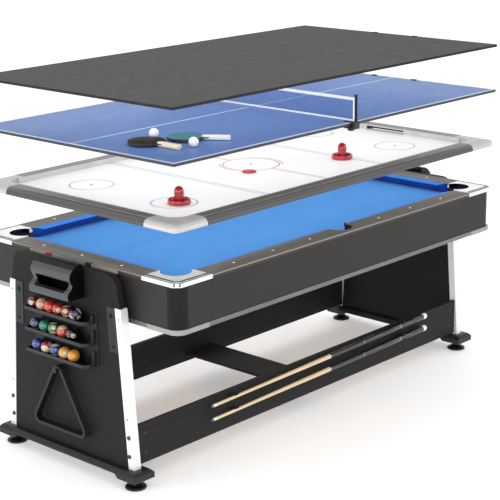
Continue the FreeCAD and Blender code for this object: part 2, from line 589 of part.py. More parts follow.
put("cue_upper", cue(CUE_Z[0]))
put("cue_lower", cue(CUE_Z[1]))
clips = []
for z in CUE_Z:
    for x, r in ((-540.0, 6.9), (631.0, 14.3)):
        rr = r + 0.5
        c = fuse(cyl(rr + 3, 22, (x - 11, CUE_Y, z), (1, 0, 0)), box(x - 11, x + 11, CUE_Y - rr + 2, CUE_Y, z - rr - 3, z + rr + 3), box(x - 11, x + 11, CUE_Y, -370, z - 8, z + 8))
        c = cut(c, cyl(rr, 30, (x - 15, CUE_Y, z), (1, 0, 0)), box(x - 15, x + 15, CUE_Y - 60, CUE_Y, z - rr, z + rr))
        clips.append(tilt(c, z))
put("cue_clips", clips)

# ================================================================ hockey deck
deck = box(-(HALF_L - HK_RAIL + 20), HALF_L - HK_RAIL + 20, -(HALF_W - HK_RAIL + 20), HALF_W - HK_RAIL + 20, HK_DECK - HK_DECK_T, HK_DECK)
put("hockey_surface", deck)
tray = cut(box(-PLENUM_X, PLENUM_X, -PLENUM_Y, PLENUM_Y, PLENUM_BOT, HK_DECK - HK_DECK_T),
           box(-PLENUM_X + 12, PLENUM_X - 12, -PLENUM_Y + 12, PLENUM_Y - 12, PLENUM_BOT + 5, HK_DECK))
FAN = (620.0, 0.0)
tray = cut(tray, cyl(46, 30, (FAN[0], FAN[1], PLENUM_BOT - 10)))
put("hockey_plenum", tray)

# rail section: flat top, rounded outer shoulder, a step for the inner wall and the deck
def hk_prof(o, i):
    """(offset from the centre, z) of a rail whose outer face is at o and inner at i."""
    return [(o, HK_BOT), (o, HK_BOT + 8), (o - 1.5, HK_BOT + 14), (o - 5, HK_BOT + 20), (o - 11, HK_BOT + 26), (o - 19, HK_BOT + 30), (o - 27, HK_TOP),
            (i, HK_TOP), (i, HK_DECK), (i + 20, HK_DECK), (i + 20, HK_DECK - HK_DECK_T), (i + 20, HK_BOT)]


HKB = 175.0                       # bracket leg length
hy = hk_prof(HALF_W, HALF_W - HK_RAIL)
hx = hk_prof(HALF_L, HALF_L - HK_RAIL)
hr_f = prism([(-(HALF_L - HKB), -y, z) for y, z in hy], (2 * (HALF_L - HKB), 0, 0))
hr_l = prism([(-x, -(HALF_W - HKB), z) for x, z in hx], (0, 2 * (HALF_W - HKB), 0))
# room for the inner wall strips and the goal boxes
WT = 6.0
GOAL_D = 60.0
gbox = box(-(HALF_L - HK_RAIL) - GOAL_D, -(HALF_L - HK_RAIL) + 1, -GOAL_HALF - 6, GOAL_HALF + 6, HK_BOT - 1, HK_DECK + 20)
hr_l = cut(hr_l, gbox)
put("hockey_rails", [hr_f, flip_y(hr_f), hr_l, flip_x(hr_l)])

# corner brackets: mitred shoulder sections with a swept inner corner
def bracket():
    sx, sy = HALF_L, HALF_W
    a = prism([(-sx - 10, -y, z) for y, z in hy], (10 + HKB, 0, 0))
    b = prism([(-x, -sy - 10, z) for x, z in hx], (0, 10 + HKB, 0))
    m1 = prism([(-sx - 20, -sy - 20, 1000), (-sx + 300, -sy + 300, 1000), (-sx + 300, -sy - 20, 1000)], (0, 0, 200))
    m2 = prism([(-sx - 20, -sy - 20, 1000), (-sx + 300, -sy + 300, 1000), (-sx - 20, -sy + 300, 1000)], (0, 0, 200))
    a = a.common(m1)
    b = b.common(m2)
    # swept filling in the inner corner, above the deck
    R = 70.0
    ix, iy = -(sx - HK_RAIL), -(sy - HK_RAIL)
    fill = cut(box(ix - 0.001, ix + R, iy - 0.001, iy + R, HK_DECK, HK_TOP), cyl(R, 200, (ix + R, iy + R, 1000)))
    c = fuse(a, b, fill)
    return cut(c, cyl(34, 100, (0, 0, 0)))


br = bracket()
# round the outer vertical corner
rc = 26.0
corner_cut = cut(box(-HALF_L - 30, -HALF_L + rc, -HALF_W - 30, -HALF_W + rc, 1000, 1200), cyl(rc, 300, (-HALF_L + rc, -HALF_W + rc, 950)))
br = cut(br, corner_cut)
put("hockey_corner_brackets", four(br))

# thin white facing strips on the inner walls, between the bracket fillets
ix, iy = HALF_L - HK_RAIL, HALF_W - HK_RAIL
ws = box(-(ix - 70), ix - 70, -iy, -iy + WT, HK_DECK, HK_TOP - 1)
we = box(-ix, -ix + WT, -(iy - 70), iy - 70, HK_DECK, HK_TOP - 1)
we = cut(we, box(-ix - 1, -ix + WT + 1, -GOAL_HALF, GOAL_HALF, HK_DECK - 1, HK_DECK + 17))
put("hockey_inner_walls", [ws, flip_y(ws), we, flip_x(we)])
# goal boxes behind the slots, open to the deck
gb = box(-ix - GOAL_D + 0.5, -ix, -GOAL_HALF - 5.5, GOAL_HALF + 5.5, HK_DECK, HK_DECK + 20)
gb = cut(gb, box(-ix - GOAL_D + 3.5, -ix + 5, -GOAL_HALF - 2.5, GOAL_HALF + 2.5, HK_DECK - 5, HK_DECK + 17.5))
put("hockey_goal_boxes", [gb, flip_x(gb)])

# twelve-volt blower inside the plenum: housing with an intake ring, and its rotor
fx, fy = FAN
fb = PLENUM_BOT + 5
house = cut(box(fx - 60, fx + 60, fy - 60, fy + 60, fb, fb + 32), cyl(53, 50, (fx, fy, fb + 2)), cyl(45, 60, (fx, fy, fb - 10)))
spokes = fuse(box(fx - 54, fx + 54, fy - 2, fy + 2, fb, fb + 2), box(fx - 2, fx + 2, fy - 54, fy + 54, fb, fb + 2), cyl(18, 2, (fx, fy, fb)))
house = fuse(house, spokes, cyl(3, 16, (fx, fy, fb + 1)))
put("blower_housing", house)
hub = cut(cyl(18, 20, (fx, fy, fb + 3)), cyl(3.06, 15, (fx, fy, fb + 2)))
blades = [hub]
for k in range(7):
    a = 2 * pi * k / 7
    bl = box(fx + 16, fx + 50, fy - 1.2, fy + 1.2, fb + 5, fb + 21)
    bl.rotate(V(fx + 33, fy, fb + 13), V(1, 0, 0), 35)
    bl.rotate(V(fx, fy, 0), V(0, 0, 1), degrees(a))
    blades.append(bl)
put("blower_rotor", fuse(*blades))

# strikers and puck
mal = [(0, 4), (20, 4), (22, 0), (46, 0), (48, 2), (48, 16), (46, 20), (43, 21), (40, 18), (38, 9), (22, 9), (18, 12), (18, 44), (17, 56), (13, 66), (7, 72), (0, 74)]
for nm, p in (("striker_left", (-737.0, -281.0)), ("striker_right", (352.0, -241.0))):
    put(nm, lathe(mal, (p[0], p[1], HK_DECK + 0.4)))
put("puck", lathe([(0, 0), (30, 0), (31.5, 1.5), (31.5, 5.0), (30, 6.5), (0, 6.5)], (-127.0, -105.0, HK_DECK + 0.4)))

# ========================================================== table-tennis top
put("table_tennis_board", box(-HALF_L, HALF_L, -HALF_W, HALF_W, TT_TOP - TT_T, TT_TOP))
PY = HALF_W + 10.0
net = box(-0.8, 0.8, -PY + 7.5, PY - 7.5, TT_TOP + 4, TT_TOP + NET_H)
put("tennis_net", net)


def post_clamp():
    y = -PY
    p = cyl(6, NET_H + 6, (0, y, TT_TOP + 4))
    spine = box(-17, 17, y - 7, y + 9, TT_TOP - 27, TT_TOP + 4)
    top = box(-17, 17, y - 7, y + 52, TT_TOP, TT_TOP + 4)
    low = box(-17, 17, y - 7, y + 52, TT_TOP - 27, TT_TOP - 22)
    c = fuse(p, spine, top, low, cyl(8, 4, (0, y, TT_TOP + NET_H + 8)))
    return cut(c, cyl(4.08, 12, (0, -574, TT_TOP - 30)))


pc = post_clamp()
put("net_posts", [pc, flip_y(pc)])


def clamp_screw(s):
    z = TT_TOP
    k = fuse(cyl(7, 3, (0, s * 574, z - TT_T - 3.4)), cyl(4, 24, (0, s * 574, z - TT_T - 26)), cyl(11, 8, (0, s * 574, z - TT_T - 25)))
    for i in range(4):
        a = radians(45 + 90 * i)
        k = k.fuse(cyl(3.5, 8, (11 * cos(a), s * 574 + 11 * sin(a), z - TT_T - 25)))
    return k.removeSplitter()


put("net_clamp_screw_front", clamp_screw(-1))
put("net_clamp_screw_back", clamp_screw(1))


def paddle(cx, cy, ax, ay):
    """Round-bladed bat lying flat, blade centre at (cx, cy), handle towards (ax, ay)."""
    n = sqrt(ax * ax + ay * ay)
    a = atan2(ay / n, ax / n)
    z = TT_TOP + 0.4
    blade = cyl(76, 9.6, (0, 0, z + 6))
    neck = prism([(60, -26, z + 6), (84, -13, z + 6), (84, 13, z + 6), (60, 26, z + 6)], (0, 0, 9.6))
    hnd = box(82, 182, -13.5, 13.5, z, z + 21.6)
    hnd = hnd.makeFillet(7, [e for e in hnd.Edges if abs(e.Vertexes[0].Point.x - e.Vertexes[1].Point.x) > 50])
    wedge = prism([(62, -12, z + 3), (90, -12, z + 1), (90, 12, z + 1), (62, 12, z + 3)], (0, 0, 17))
    s = fuse(blade, neck, wedge, hnd)
    s.rotate(V(0, 0, 0), V(0, 0, 1), degrees(a))
    s.translate(V(cx, cy, 0))
    return s


BATS = {"bat_dark": (-873.0, -244.0, -871.0 + 873.0, -437.0 + 244.0), "bat_teal": (-712.0, -300.0, -598.0 + 712.0, -464.0 + 300.0)}
for nm, (cx, cy, ax, ay) in BATS.items():
    put(nm, paddle(cx, cy, ax, ay))
put("tennis_ball_left", ball(20, (-768.0, -178.0, TT_TOP + 20.4)))
put("tennis_ball_right", ball(20, (-795.0, -428.0, TT_TOP + 20.4)))

# ================================================================= dining top
put("dining_board", box(-HALF_L, HALF_L, -HALF_W, HALF_W, DIN_TOP - DIN_T, DIN_TOP))

# ---------------------------------------------------------------------- write
for name, sols in NODES.items():
    shp = sols[0] if len(sols) == 1 else Part.makeCompound(sols)
    bad = [s for s in sols if not s.isValid() or s.Volume <= 0]
    if bad:
        print("BAD", name, len(bad))
    shp.exportStep("parts/%s.step" % name)
print(len(NODES), "nodes")
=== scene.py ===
import json
import random
from math import sin, cos, tan, pi, radians, sqrt, atan2, hypot, acos

import bpy
import bmesh
from mathutils import Vector, Matrix


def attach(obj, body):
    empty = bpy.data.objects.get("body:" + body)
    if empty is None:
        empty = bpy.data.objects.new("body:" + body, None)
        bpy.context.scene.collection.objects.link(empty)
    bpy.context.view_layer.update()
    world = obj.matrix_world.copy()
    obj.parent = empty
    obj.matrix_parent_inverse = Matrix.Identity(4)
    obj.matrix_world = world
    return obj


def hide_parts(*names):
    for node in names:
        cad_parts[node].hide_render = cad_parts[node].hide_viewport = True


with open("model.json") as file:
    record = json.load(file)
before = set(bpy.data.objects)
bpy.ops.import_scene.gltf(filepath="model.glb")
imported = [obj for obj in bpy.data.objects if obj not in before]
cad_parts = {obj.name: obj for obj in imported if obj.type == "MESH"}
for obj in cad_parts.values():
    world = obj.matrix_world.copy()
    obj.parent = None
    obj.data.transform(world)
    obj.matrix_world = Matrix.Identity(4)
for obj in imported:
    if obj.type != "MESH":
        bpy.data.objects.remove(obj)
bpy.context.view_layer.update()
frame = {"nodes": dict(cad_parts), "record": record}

NODES = frame["nodes"]
BODY = {n: b for b, ns in frame["record"]["behaviour"]["bodies"].items() for n in ns}
random.seed(11)
MM = 0.001


# ------------------------------------------------------------------ materials
def hexc(h, k=1.0):
    v = [int(h[i:i + 2], 16) / 255 for i in (1, 3, 5)]
    v = [(c / 12.92 if c <= 0.04045 else ((c + 0.055) / 1.055) ** 2.4) * k for c in v]
    return (v[0], v[1], v[2], 1.0)


class Mat:
    """A Principled material with a few helpers for building its node tree."""

    def __init__(self, name, color, rough=0.5, metal=0.0, spec=0.5, coat=0.0, coat_rough=0.1, sheen=0.0, sheen_rough=0.5, aniso=0.0):
        self.m = bpy.data.materials.new(name)
        self.m.use_nodes = True
        self.t = self.m.node_tree
        self.b = self.t.nodes["Principled BSDF"]
        self.b.inputs["Base Color"].default_value = color
        self.b.inputs["Roughness"].default_value = rough
        self.b.inputs["Metallic"].default_value = metal
        self.b.inputs["Specular IOR Level"].default_value = spec
        self.b.inputs["Coat Weight"].default_value = coat
        self.b.inputs["Coat Roughness"].default_value = coat_rough
        self.b.inputs["Sheen Weight"].default_value = sheen
        self.b.inputs["Sheen Roughness"].default_value = sheen_rough
        self.b.inputs["Anisotropic"].default_value = aniso
        self.tc = self.node("ShaderNodeTexCoord")
        self._sep = None

    def node(self, kind, **props):
        n = self.t.nodes.new(kind)
        for k, v in props.items():
            setattr(n, k, v)
        return n

    def put(self, sock, val):
        if isinstance(val, bpy.types.NodeSocket):
            self.t.links.new(val, sock)
        else:
            sock.default_value = val

    def math(self, op, a, b=0.0, c=None, clamp=False):
        n = self.node("ShaderNodeMath", operation=op, use_clamp=clamp)
        self.put(n.inputs[0], a)
        self.put(n.inputs[1], b)
        if c is not None:
            self.put(n.inputs[2], c)
        return n.outputs[0]

    def xyz(self, vec=None):
        if vec is None:
            if self._sep is None:
                s = self.node("ShaderNodeSeparateXYZ")
                self.put(s.inputs[0], self.tc.outputs["Object"])
                self._sep = s.outputs
            return self._sep
        s = self.node("ShaderNodeSeparateXYZ")
        self.put(s.inputs[0], vec)
        return s.outputs

    def vec(self, scale=(1, 1, 1), src=None, rot=(0, 0, 0), loc=(0, 0, 0)):
        n = self.node("ShaderNodeMapping")
        n.inputs["Scale"].default_value = scale
        n.inputs["Rotation"].default_value = rot
        n.inputs["Location"].default_value = loc
        self.put(n.inputs["Vector"], src or self.tc.outputs["Object"])
        return n.outputs[0]

    def noise(self, scale, detail=3.0, rough=0.55, src=None, dist=0.0):
        n = self.node("ShaderNodeTexNoise")
        n.inputs["Scale"].default_value = scale
        n.inputs["Detail"].default_value = detail
        n.inputs["Roughness"].default_value = rough
        n.inputs["Distortion"].default_value = dist
        self.put(n.inputs["Vector"], src or self.tc.outputs["Object"])
        return n.outputs["Fac"]

    def cells(self, scale, src=None, feature="F1", rnd=1.0):
        n = self.node("ShaderNodeTexVoronoi", feature=feature)
        n.inputs["Scale"].default_value = scale
        n.inputs["Randomness"].default_value = rnd
        self.put(n.inputs["Vector"], src or self.tc.outputs["Object"])
        return n.outputs["Distance"]

    def ramp(self, fac, stops):
        n = self.node("ShaderNodeValToRGB")
        cr = n.color_ramp
        while len(cr.elements) < len(stops):
            cr.elements.new(0.5)
        for e, (p, c) in zip(cr.elements, stops):
            e.position = p
            e.color = c if not isinstance(c, (int, float)) else (c, c, c, 1)
        self.put(n.inputs[0], fac)
        return n.outputs[0]

    def remap(self, fac, a, b, lo=0.3, hi=0.7):
        n = self.node("ShaderNodeMapRange")
        n.inputs["From Min"].default_value = lo
        n.inputs["From Max"].default_value = hi
        n.inputs["To Min"].default_value = a
        n.inputs["To Max"].default_value = b
        self.put(n.inputs["Value"], fac)
        return n.outputs[0]

    def mix(self, fac, a, b):
        n = self.node("ShaderNodeMix", data_type="RGBA")
        self.put(n.inputs[0], fac)
        self.put(n.inputs[6], a)
        self.put(n.inputs[7], b)
        return n.outputs[2]

    def mixv(self, fac, a, b):
        n = self.node("ShaderNodeMix", data_type="VECTOR")
        self.put(n.inputs[0], fac)
        self.put(n.inputs[4], a)
        self.put(n.inputs[5], b)
        return n.outputs[1]

    def color(self, out):
        self.put(self.b.inputs["Base Color"], out)
        return self

    def rough(self, out):
        self.put(self.b.inputs["Roughness"], out)
        return self

    def bump(self, height, strength=0.3, dist=0.0005, normal=None):
        n = self.node("ShaderNodeBump")
        n.inputs["Strength"].default_value = strength
        n.inputs["Distance"].default_value = dist
        self.put(n.inputs["Height"], height)
        if normal is not None:
            self.put(n.inputs["Normal"], normal)
        self.t.links.new(n.outputs[0], self.b.inputs["Normal"])
        return n.outputs[0]

    def edge(self):
        """0 on flats, towards 1 on outside edges (worn edges, and edges given a painted highlight)."""
        g = self.node("ShaderNodeNewGeometry")
        return self.remap(g.outputs["Pointiness"], 0.0, 1.0, 0.505, 0.56)


def moulded(name, c1, c2, r0=0.4, r1=0.55, grain=900, bstr=0.25, bdist=0.0002, mott=9, coat=0.0, edge_wear_and_highlight=None, spec=0.5):
    m = Mat(name, hexc(c1), rough=r0, coat=coat, coat_rough=0.15, spec=spec)
    a = m.noise(mott, 5)
    col = m.ramp(a, [(0.3, hexc(c1)), (0.7, hexc(c2))])
    if edge_wear_and_highlight:
        col = m.mix(m.edge(), col, hexc(edge_wear_and_highlight))
    m.color(col)
    m.rough(m.remap(m.noise(mott * 4, 4), r0, r1))
    m.bump(m.noise(grain, 2), bstr, bdist)
    return m.m


def laminate(name, c1, c2, c3, swap=None, rough=(0.38, 0.52), grain=1.0, edge_wear_and_highlight=None, spec=0.4):
    """Printed wood-grain laminate. Grain runs along X, and along Y on pieces past |x| = swap."""
    m = Mat(name, hexc(c1), rough=rough[0], spec=spec)
    x, y, z = m.xyz()
    src = m.tc.outputs["Object"]
    if swap is not None:
        far = m.math("GREATER_THAN", m.math("ABSOLUTE", x), swap)
        c = m.node("ShaderNodeCombineXYZ")
        m.put(c.inputs[0], y)
        m.put(c.inputs[1], x)
        m.put(c.inputs[2], z)
        src = m.mixv(far, src, c.outputs[0])
    broad = m.noise(3.0 * grain, 4, 0.6, m.vec((0.8, 9, 9), src), 0.8)
    fine = m.noise(6.0 * grain, 5, 0.65, m.vec((1.5, 70, 70), src), 0.3)
    pores = m.noise(10 * grain, 2, 0.5, m.vec((3, 150, 150), src))
    mixed = m.math("ADD", m.math("MULTIPLY", broad, 0.55), m.math("MULTIPLY", fine, 0.45))
    col = m.ramp(mixed, [(0.34, hexc(c1)), (0.5, hexc(c2)), (0.66, hexc(c3))])
    pore = m.ramp(pores, [(0.30, 1.0), (0.40, 0.0)])
    col = m.mix(m.math("MULTIPLY", pore, 0.45), col, hexc(c1, 0.5))
    if edge_wear_and_highlight:
        col = m.mix(m.math("MULTIPLY", m.edge(), 0.8), col, hexc(edge_wear_and_highlight))
    m.color(col)
    m.rough(m.remap(fine, rough[0], rough[1]))
    m.bump(m.math("SUBTRACT", fine, m.math("MULTIPLY", pore, 0.8)), 0.3, 0.00015)
    return m.m


def brushed(name, c1, c2, stretch, r0=0.22, r1=0.4, metal=1.0, bstr=0.12, scale=5.0):
    m = Mat(name, hexc(c1), rough=r0, metal=metal, aniso=0.3)
    lines = m.noise(scale, 4, 0.6, m.vec(stretch))
    cloud = m.noise(4, 3)
    m.color(m.ramp(m.math("ADD", m.math("MULTIPLY", lines, 0.6), m.math("MULTIPLY", cloud, 0.4)), [(0.35, hexc(c1)), (0.65, hexc(c2))]))
    m.rough(m.remap(lines, r0, r1))
    m.bump(lines, bstr, 0.0001)
    return m.m


def felt(name, c1, c2, c3, weave=True):
    m = Mat(name, hexc(c1), rough=0.98, spec=0.03, sheen=0.06, sheen_rough=0.5)
    fib = m.noise(1400, 2, 0.6)
    fib2 = m.noise(500, 3, 0.6, m.vec((0.6, 1.6, 1.0)))
    nap = m.noise(5, 4, 0.6, m.vec((0.5, 2.2, 1)))
    f = m.math("ADD", m.math("MULTIPLY", fib2, 0.45), m.math("MULTIPLY", nap, 0.55))
    col = m.ramp(f, [(0.36, hexc(c1)), (0.5, hexc(c2)), (0.64, hexc(c3))])
    lint = m.ramp(m.cells(260), [(0.0, 1.0), (0.035, 0.0)])
    col = m.mix(m.math("MULTIPLY", lint, 0.28), col, hexc("#a9cdf2"))
    m.color(col)
    m.rough(m.remap(nap, 0.88, 1.0))
    m.bump(m.math("ADD", fib, m.math("MULTIPLY", fib2, 0.8)), 0.55, 0.0004)
    return m.m


def clear_gloss(name, c1, c2, r=0.12, coat=0.6, mott=30, scratch=True, bstr=0.04):
    m = Mat(name, hexc(c1), rough=r, coat=coat, coat_rough=0.05)
    m.color(m.ramp(m.noise(mott, 3), [(0.3, hexc(c1)), (0.7, hexc(c2))]))
    sc = m.noise(300, 3, 0.7, m.vec((1, 8, 3), rot=(0.4, 0.7, 0.2)))
    m.rough(m.remap(sc, r * 0.8, r * 1.7))
    m.bump(m.noise(180, 2), bstr, 0.0001)
    return m.m


M = {}
def shade_below(mat, z0, z1, k):
    """Paints shade into the skin: darkens it towards k below z0, fading in up to z1 (painted shade on the sides of a
    rail).
    """
    t = mat.node_tree
    b = t.nodes["Principled BSDF"]
    src = b.inputs["Base Color"].links[0].from_socket
    tc, sp = t.nodes.new("ShaderNodeTexCoord"), t.nodes.new("ShaderNodeSeparateXYZ")
    t.links.new(tc.outputs["Object"], sp.inputs[0])
    mr = t.nodes.new("ShaderNodeMapRange")
    t.links.new(sp.outputs[2], mr.inputs["Value"])
    for nm, val in (("From Min", z0), ("From Max", z1), ("To Min", k), ("To Max", 1.0)):
        mr.inputs[nm].default_value = val
    sc = t.nodes.new("ShaderNodeVectorMath")
    sc.operation = "SCALE"
    t.links.new(src, sc.inputs[0])
    t.links.new(mr.outputs["Result"], sc.inputs["Scale"])
    t.links.new(sc.outputs[0], b.inputs["Base Color"])
    return mat


def cast_chrome():
    """Bright casting; the wall of the pocket mouth is painted near-black by position."""
    m = Mat("cast_chrome", hexc("#efefed"), rough=0.16, metal=0.2)
    x, y, z = m.xyz()
    g = m.noise(4, 4, 0.6, m.vec((4, 4, 4)))
    col = m.ramp(g, [(0.35, hexc("#e6e6e4")), (0.65, hexc("#ecece9"))])
    dx = m.math("SUBTRACT", m.math("ABSOLUTE", x), 0.943)
    dy = m.math("SUBTRACT", m.math("ABSOLUTE", y), 0.462)
    d = m.math("SQRT", m.math("ADD", m.math("MULTIPLY", dx, dx), m.math("MULTIPLY", dy, dy)))
    # near-black inside the pocket mouth, painted by position
    hole = m.math("MULTIPLY", m.math("LESS_THAN", d, 0.0637), m.math("LESS_THAN", z, 0.8813))
    m.color(m.mix(hole, col, m.ramp(m.noise(60, 3), [(0.3, hexc("#060607")), (0.7, hexc("#0c0c0d"))])))
    m.rough(m.remap(g, 0.14, 0.2))
    m.bump(g, 0.008, 0.0001)
    return m.m


M["apron"] = laminate("apron_laminate", "#191817", "#1f1e1d", "#262423", swap=1.03, edge_wear_and_highlight="#333130", spec=0.15)
# the pool rail sides below the top edge carry painted shade through shade_below
M["rail"] = shade_below(laminate("rail_laminate", "#413e3b", "#4e4a46", "#5b5753", swap=0.976, rough=(0.45, 0.6), edge_wear_and_highlight="#746e67", spec=0.22), 0.8755, 0.8775, 0.3)
M["trim"] = brushed("trim_satin", "#5f5d59", "#74726d", (3, 3, 60), 0.26, 0.36, metal=0.25, bstr=0.03)
M["panel"] = laminate("panel_laminate", "#0e0e0f", "#131314", "#18181a", swap=None, rough=(0.5, 0.66), grain=0.8, edge_wear_and_highlight="#242426", spec=0.12)
M["stretcher"] = laminate("stretcher_laminate", "#141415", "#1a1a1b", "#212122", rough=(0.48, 0.62), grain=0.8, edge_wear_and_highlight="#2b2b2d", spec=0.12)
M["post"] = moulded("corner_post_vinyl", "#090909", "#0e0e0f", 0.34, 0.46, grain=700, bstr=0.15, spec=0.22)
# the lighter edge colour on the fixing plates is a painted highlight that outlines them
M["plate"] = moulded("fixing_plate_skin", "#0f0f10", "#161617", 0.34, 0.46, grain=900, bstr=0.15, edge_wear_and_highlight="#2c2c2e", spec=0.25)
M["board"] = moulded("fibreboard", "#8b6a48", "#a8835c", 0.75, 0.9, grain=420, bstr=0.5, mott=25)
M["black"] = moulded("black_moulding", "#080809", "#0f0f10", 0.34, 0.48, grain=1100, bstr=0.22, edge_wear_and_highlight="#303033", spec=0.25)
M["black_gloss"] = moulded("black_gloss_moulding", "#0c0c0d", "#141415", 0.18, 0.3, grain=1300, bstr=0.1, coat=0.25, edge_wear_and_highlight="#2c2c2e")
M["rubber"] = moulded("pocket_rubber", "#0a0a0b", "#141414", 0.6, 0.78, grain=600, bstr=0.35)
M["white_pl"] = moulded("white_moulding", "#dededd", "#eeeeec", 0.25, 0.36, grain=900, bstr=0.08)
M["leg"] = brushed("leg_extrusion", "#dcdddd", "#ebecec", (9, 9, 0.5), 0.26, 0.36, metal=0.25, bstr=0.02)
M["chrome"] = cast_chrome()
M["guard"] = brushed("guard_satin", "#8b8a86", "#989793", (4, 4, 40), 0.32, 0.42, metal=0.2, bstr=0.02)
M["bracket"] = brushed("bracket_satin", "#b6b5b3", "#bfbebc", (3, 3, 3), 0.3, 0.38, metal=0.25, bstr=0.01, scale=4)
M["steel"] = brushed("bolt_steel", "#3a3a3b", "#58585a", (40, 40, 40), 0.28, 0.42, metal=1.0, bstr=0.1, scale=9)
M["felt"] = felt("blue_felt", "#4183c6", "#4386ca", "#478acd")
M["cush"] = felt("cushion_felt", "#3577c3", "#397bc8", "#3f82cd")
# darker copy of the cushion felt: painted shade on the nose faces, which are the same cloth as the top
M["cush_face"] = felt("cushion_face_shaded_felt", "#0c3a8c", "#104296", "#154aa0")
# the hockey rail sides below the shoulder carry painted shade through shade_below
M["hk_rail"] = shade_below(moulded("hockey_rail_skin", "#403f40", "#4a494a", 0.3, 0.38, grain=800, bstr=0.1, mott=6, edge_wear_and_highlight="#5e5c5b", spec=0.6), 1.094, 1.106, 0.42)
M["hk_wall"] = moulded("hockey_wall_skin", "#b9bbbb", "#c9cbca", 0.3, 0.4, grain=700, bstr=0.06)
M["red"] = clear_gloss("striker_red", "#8f0a18", "#b01224", r=0.16, coat=0.7)
M["puck"] = clear_gloss("puck_red", "#a82630", "#c23c44", r=0.3, coat=0.2)
M["mark_red"] = moulded("marker_red", "#8e2024", "#a32a2e", 0.25, 0.35, grain=900, bstr=0.1)
M["net_blue"] = moulded("net_twine", "#3f63a6", "#5277ba", 0.7, 0.85, grain=1500, bstr=0.5)
M["tape"] = moulded("net_tape", "#dadfe8", "#f0f2f5", 0.75, 0.9, grain=1600, bstr=0.6, mott=60)
M["ink_blue"] = moulded("ink_blue", "#5a86b2", "#6c95bd", 0.3, 0.42, grain=900, bstr=0.05, mott=40)
M["ink_pale"] = moulded("ink_pale", "#8fa6ba", "#9fb3c5", 0.3, 0.42, grain=900, bstr=0.05, mott=40)
M["ink_red"] = moulded("ink_red", "#b04a42", "#bd5a50", 0.3, 0.42, grain=900, bstr=0.05, mott=40)
M["ink_white"] = moulded("ink_white", "#dfe4ee", "#eef1f6", 0.45, 0.6, grain=900, bstr=0.08, mott=40)
M["strip"] = moulded("score_strip_skin", "#8d8a84", "#a19d97", 0.3, 0.4, grain=700, bstr=0.06)
M["ink_black"] = moulded("ink_black", "#0a0a0a", "#131313", 0.3, 0.4, grain=900, bstr=0.05)


def hockey_skin():
    m = Mat("hockey_deck_skin", hexc("#f4f4f5"), rough=0.4, spec=0.2)
    x, y, z = m.xyz()
    base = m.ramp(m.noise(4, 4), [(0.3, hexc("#f3f4f5")), (0.7, hexc("#f9f9fa"))])
    P = 0.0254

    def cell(v):
        f = m.math("FRACT", m.math("ADD", m.math("DIVIDE", v, P), 100.0))
        return m.math("MULTIPLY", m.math("SUBTRACT", f, 0.5), P)
    cx, cy = cell(x), cell(y)
    r2 = m.math("ADD", m.math("MULTIPLY", cx, cx), m.math("MULTIPLY", cy, cy))
    r = m.math("SQRT", r2)
    inside = m.math("MULTIPLY", m.math("LESS_THAN", m.math("ABSOLUTE", x), 0.955), m.math("LESS_THAN", m.math("ABSOLUTE", y), 0.483))
    hole = m.math("MULTIPLY", m.math("LESS_THAN", r, 0.0007), inside)
    dish = m.math("MULTIPLY", m.remap(r, 1.0, 0.0, 0.0006, 0.0014), inside)
    m.color(m.mix(m.math("MULTIPLY", hole, 0.85), base, hexc("#3c3c40")))
    m.rough(m.remap(m.noise(60, 4, 0.7, m.vec((1, 5, 1))), 0.34, 0.48))
    n = m.bump(m.noise(300, 2), 0.03, 0.0001)
    b = m.node("ShaderNodeBump")
    b.inputs["Strength"].default_value = 0.4
    b.inputs["Distance"].default_value = 0.0003
    b.invert = True
    m.put(b.inputs["Height"], dish)
    m.put(b.inputs["Normal"], n)
    m.t.links.new(b.outputs[0], m.b.inputs["Normal"])
    return m.m


M["hk_deck"] = hockey_skin()


def board_skin(name, top1, top2, edge, ztop, rough=(0.4, 0.55), spec=0.35, under="#2a2a2c"):
    """Painted board: face colour on top, dark edge band and underside."""
    m = Mat(name, hexc(top1), rough=rough[0], spec=spec)
    x, y, z = m.xyz()
    top = m.ramp(m.noise(2.2, 5), [(0.3, hexc(top1)), (0.7, hexc(top2))])
    speck = m.ramp(m.noise(700, 2), [(0.42, 0.0), (0.75, 0.10)])
    top = m.mix(m.math("MULTIPLY", speck, 0.5), top, hexc("#8e9098"))
    up = m.math("GREATER_THAN", z, ztop - 0.0006)
    lo = m.math("LESS_THAN", z, ztop - 0.0113)
    side = m.ramp(m.noise(30, 3, 0.6, m.vec((1, 1, 30))), [(0.3, hexc(edge, 0.8)), (0.7, hexc(edge, 1.2))])
    und = m.ramp(m.noise(8, 4), [(0.3, hexc(under, 0.85)), (0.7, hexc(under, 1.1))])
    m.color(m.mix(lo, m.mix(up, side, top), und))
    m.rough(m.remap(m.noise(14, 5, 0.65), rough[0], rough[1]))
    m.bump(m.noise(900, 2), 0.16, 0.00018)
    return m.m


M["tt"] = board_skin("tennis_board_paint", "#5a7dbc", "#6083c2", "#26282e", 1.347, rough=(0.42, 0.52), spec=0.5)
M["dining"] = board_skin("dining_board_paint", "#4d4b4b", "#504e4e", "#2c2c2d", 1.559, rough=(0.62, 0.74), spec=0.1, under="#1c1c1e")


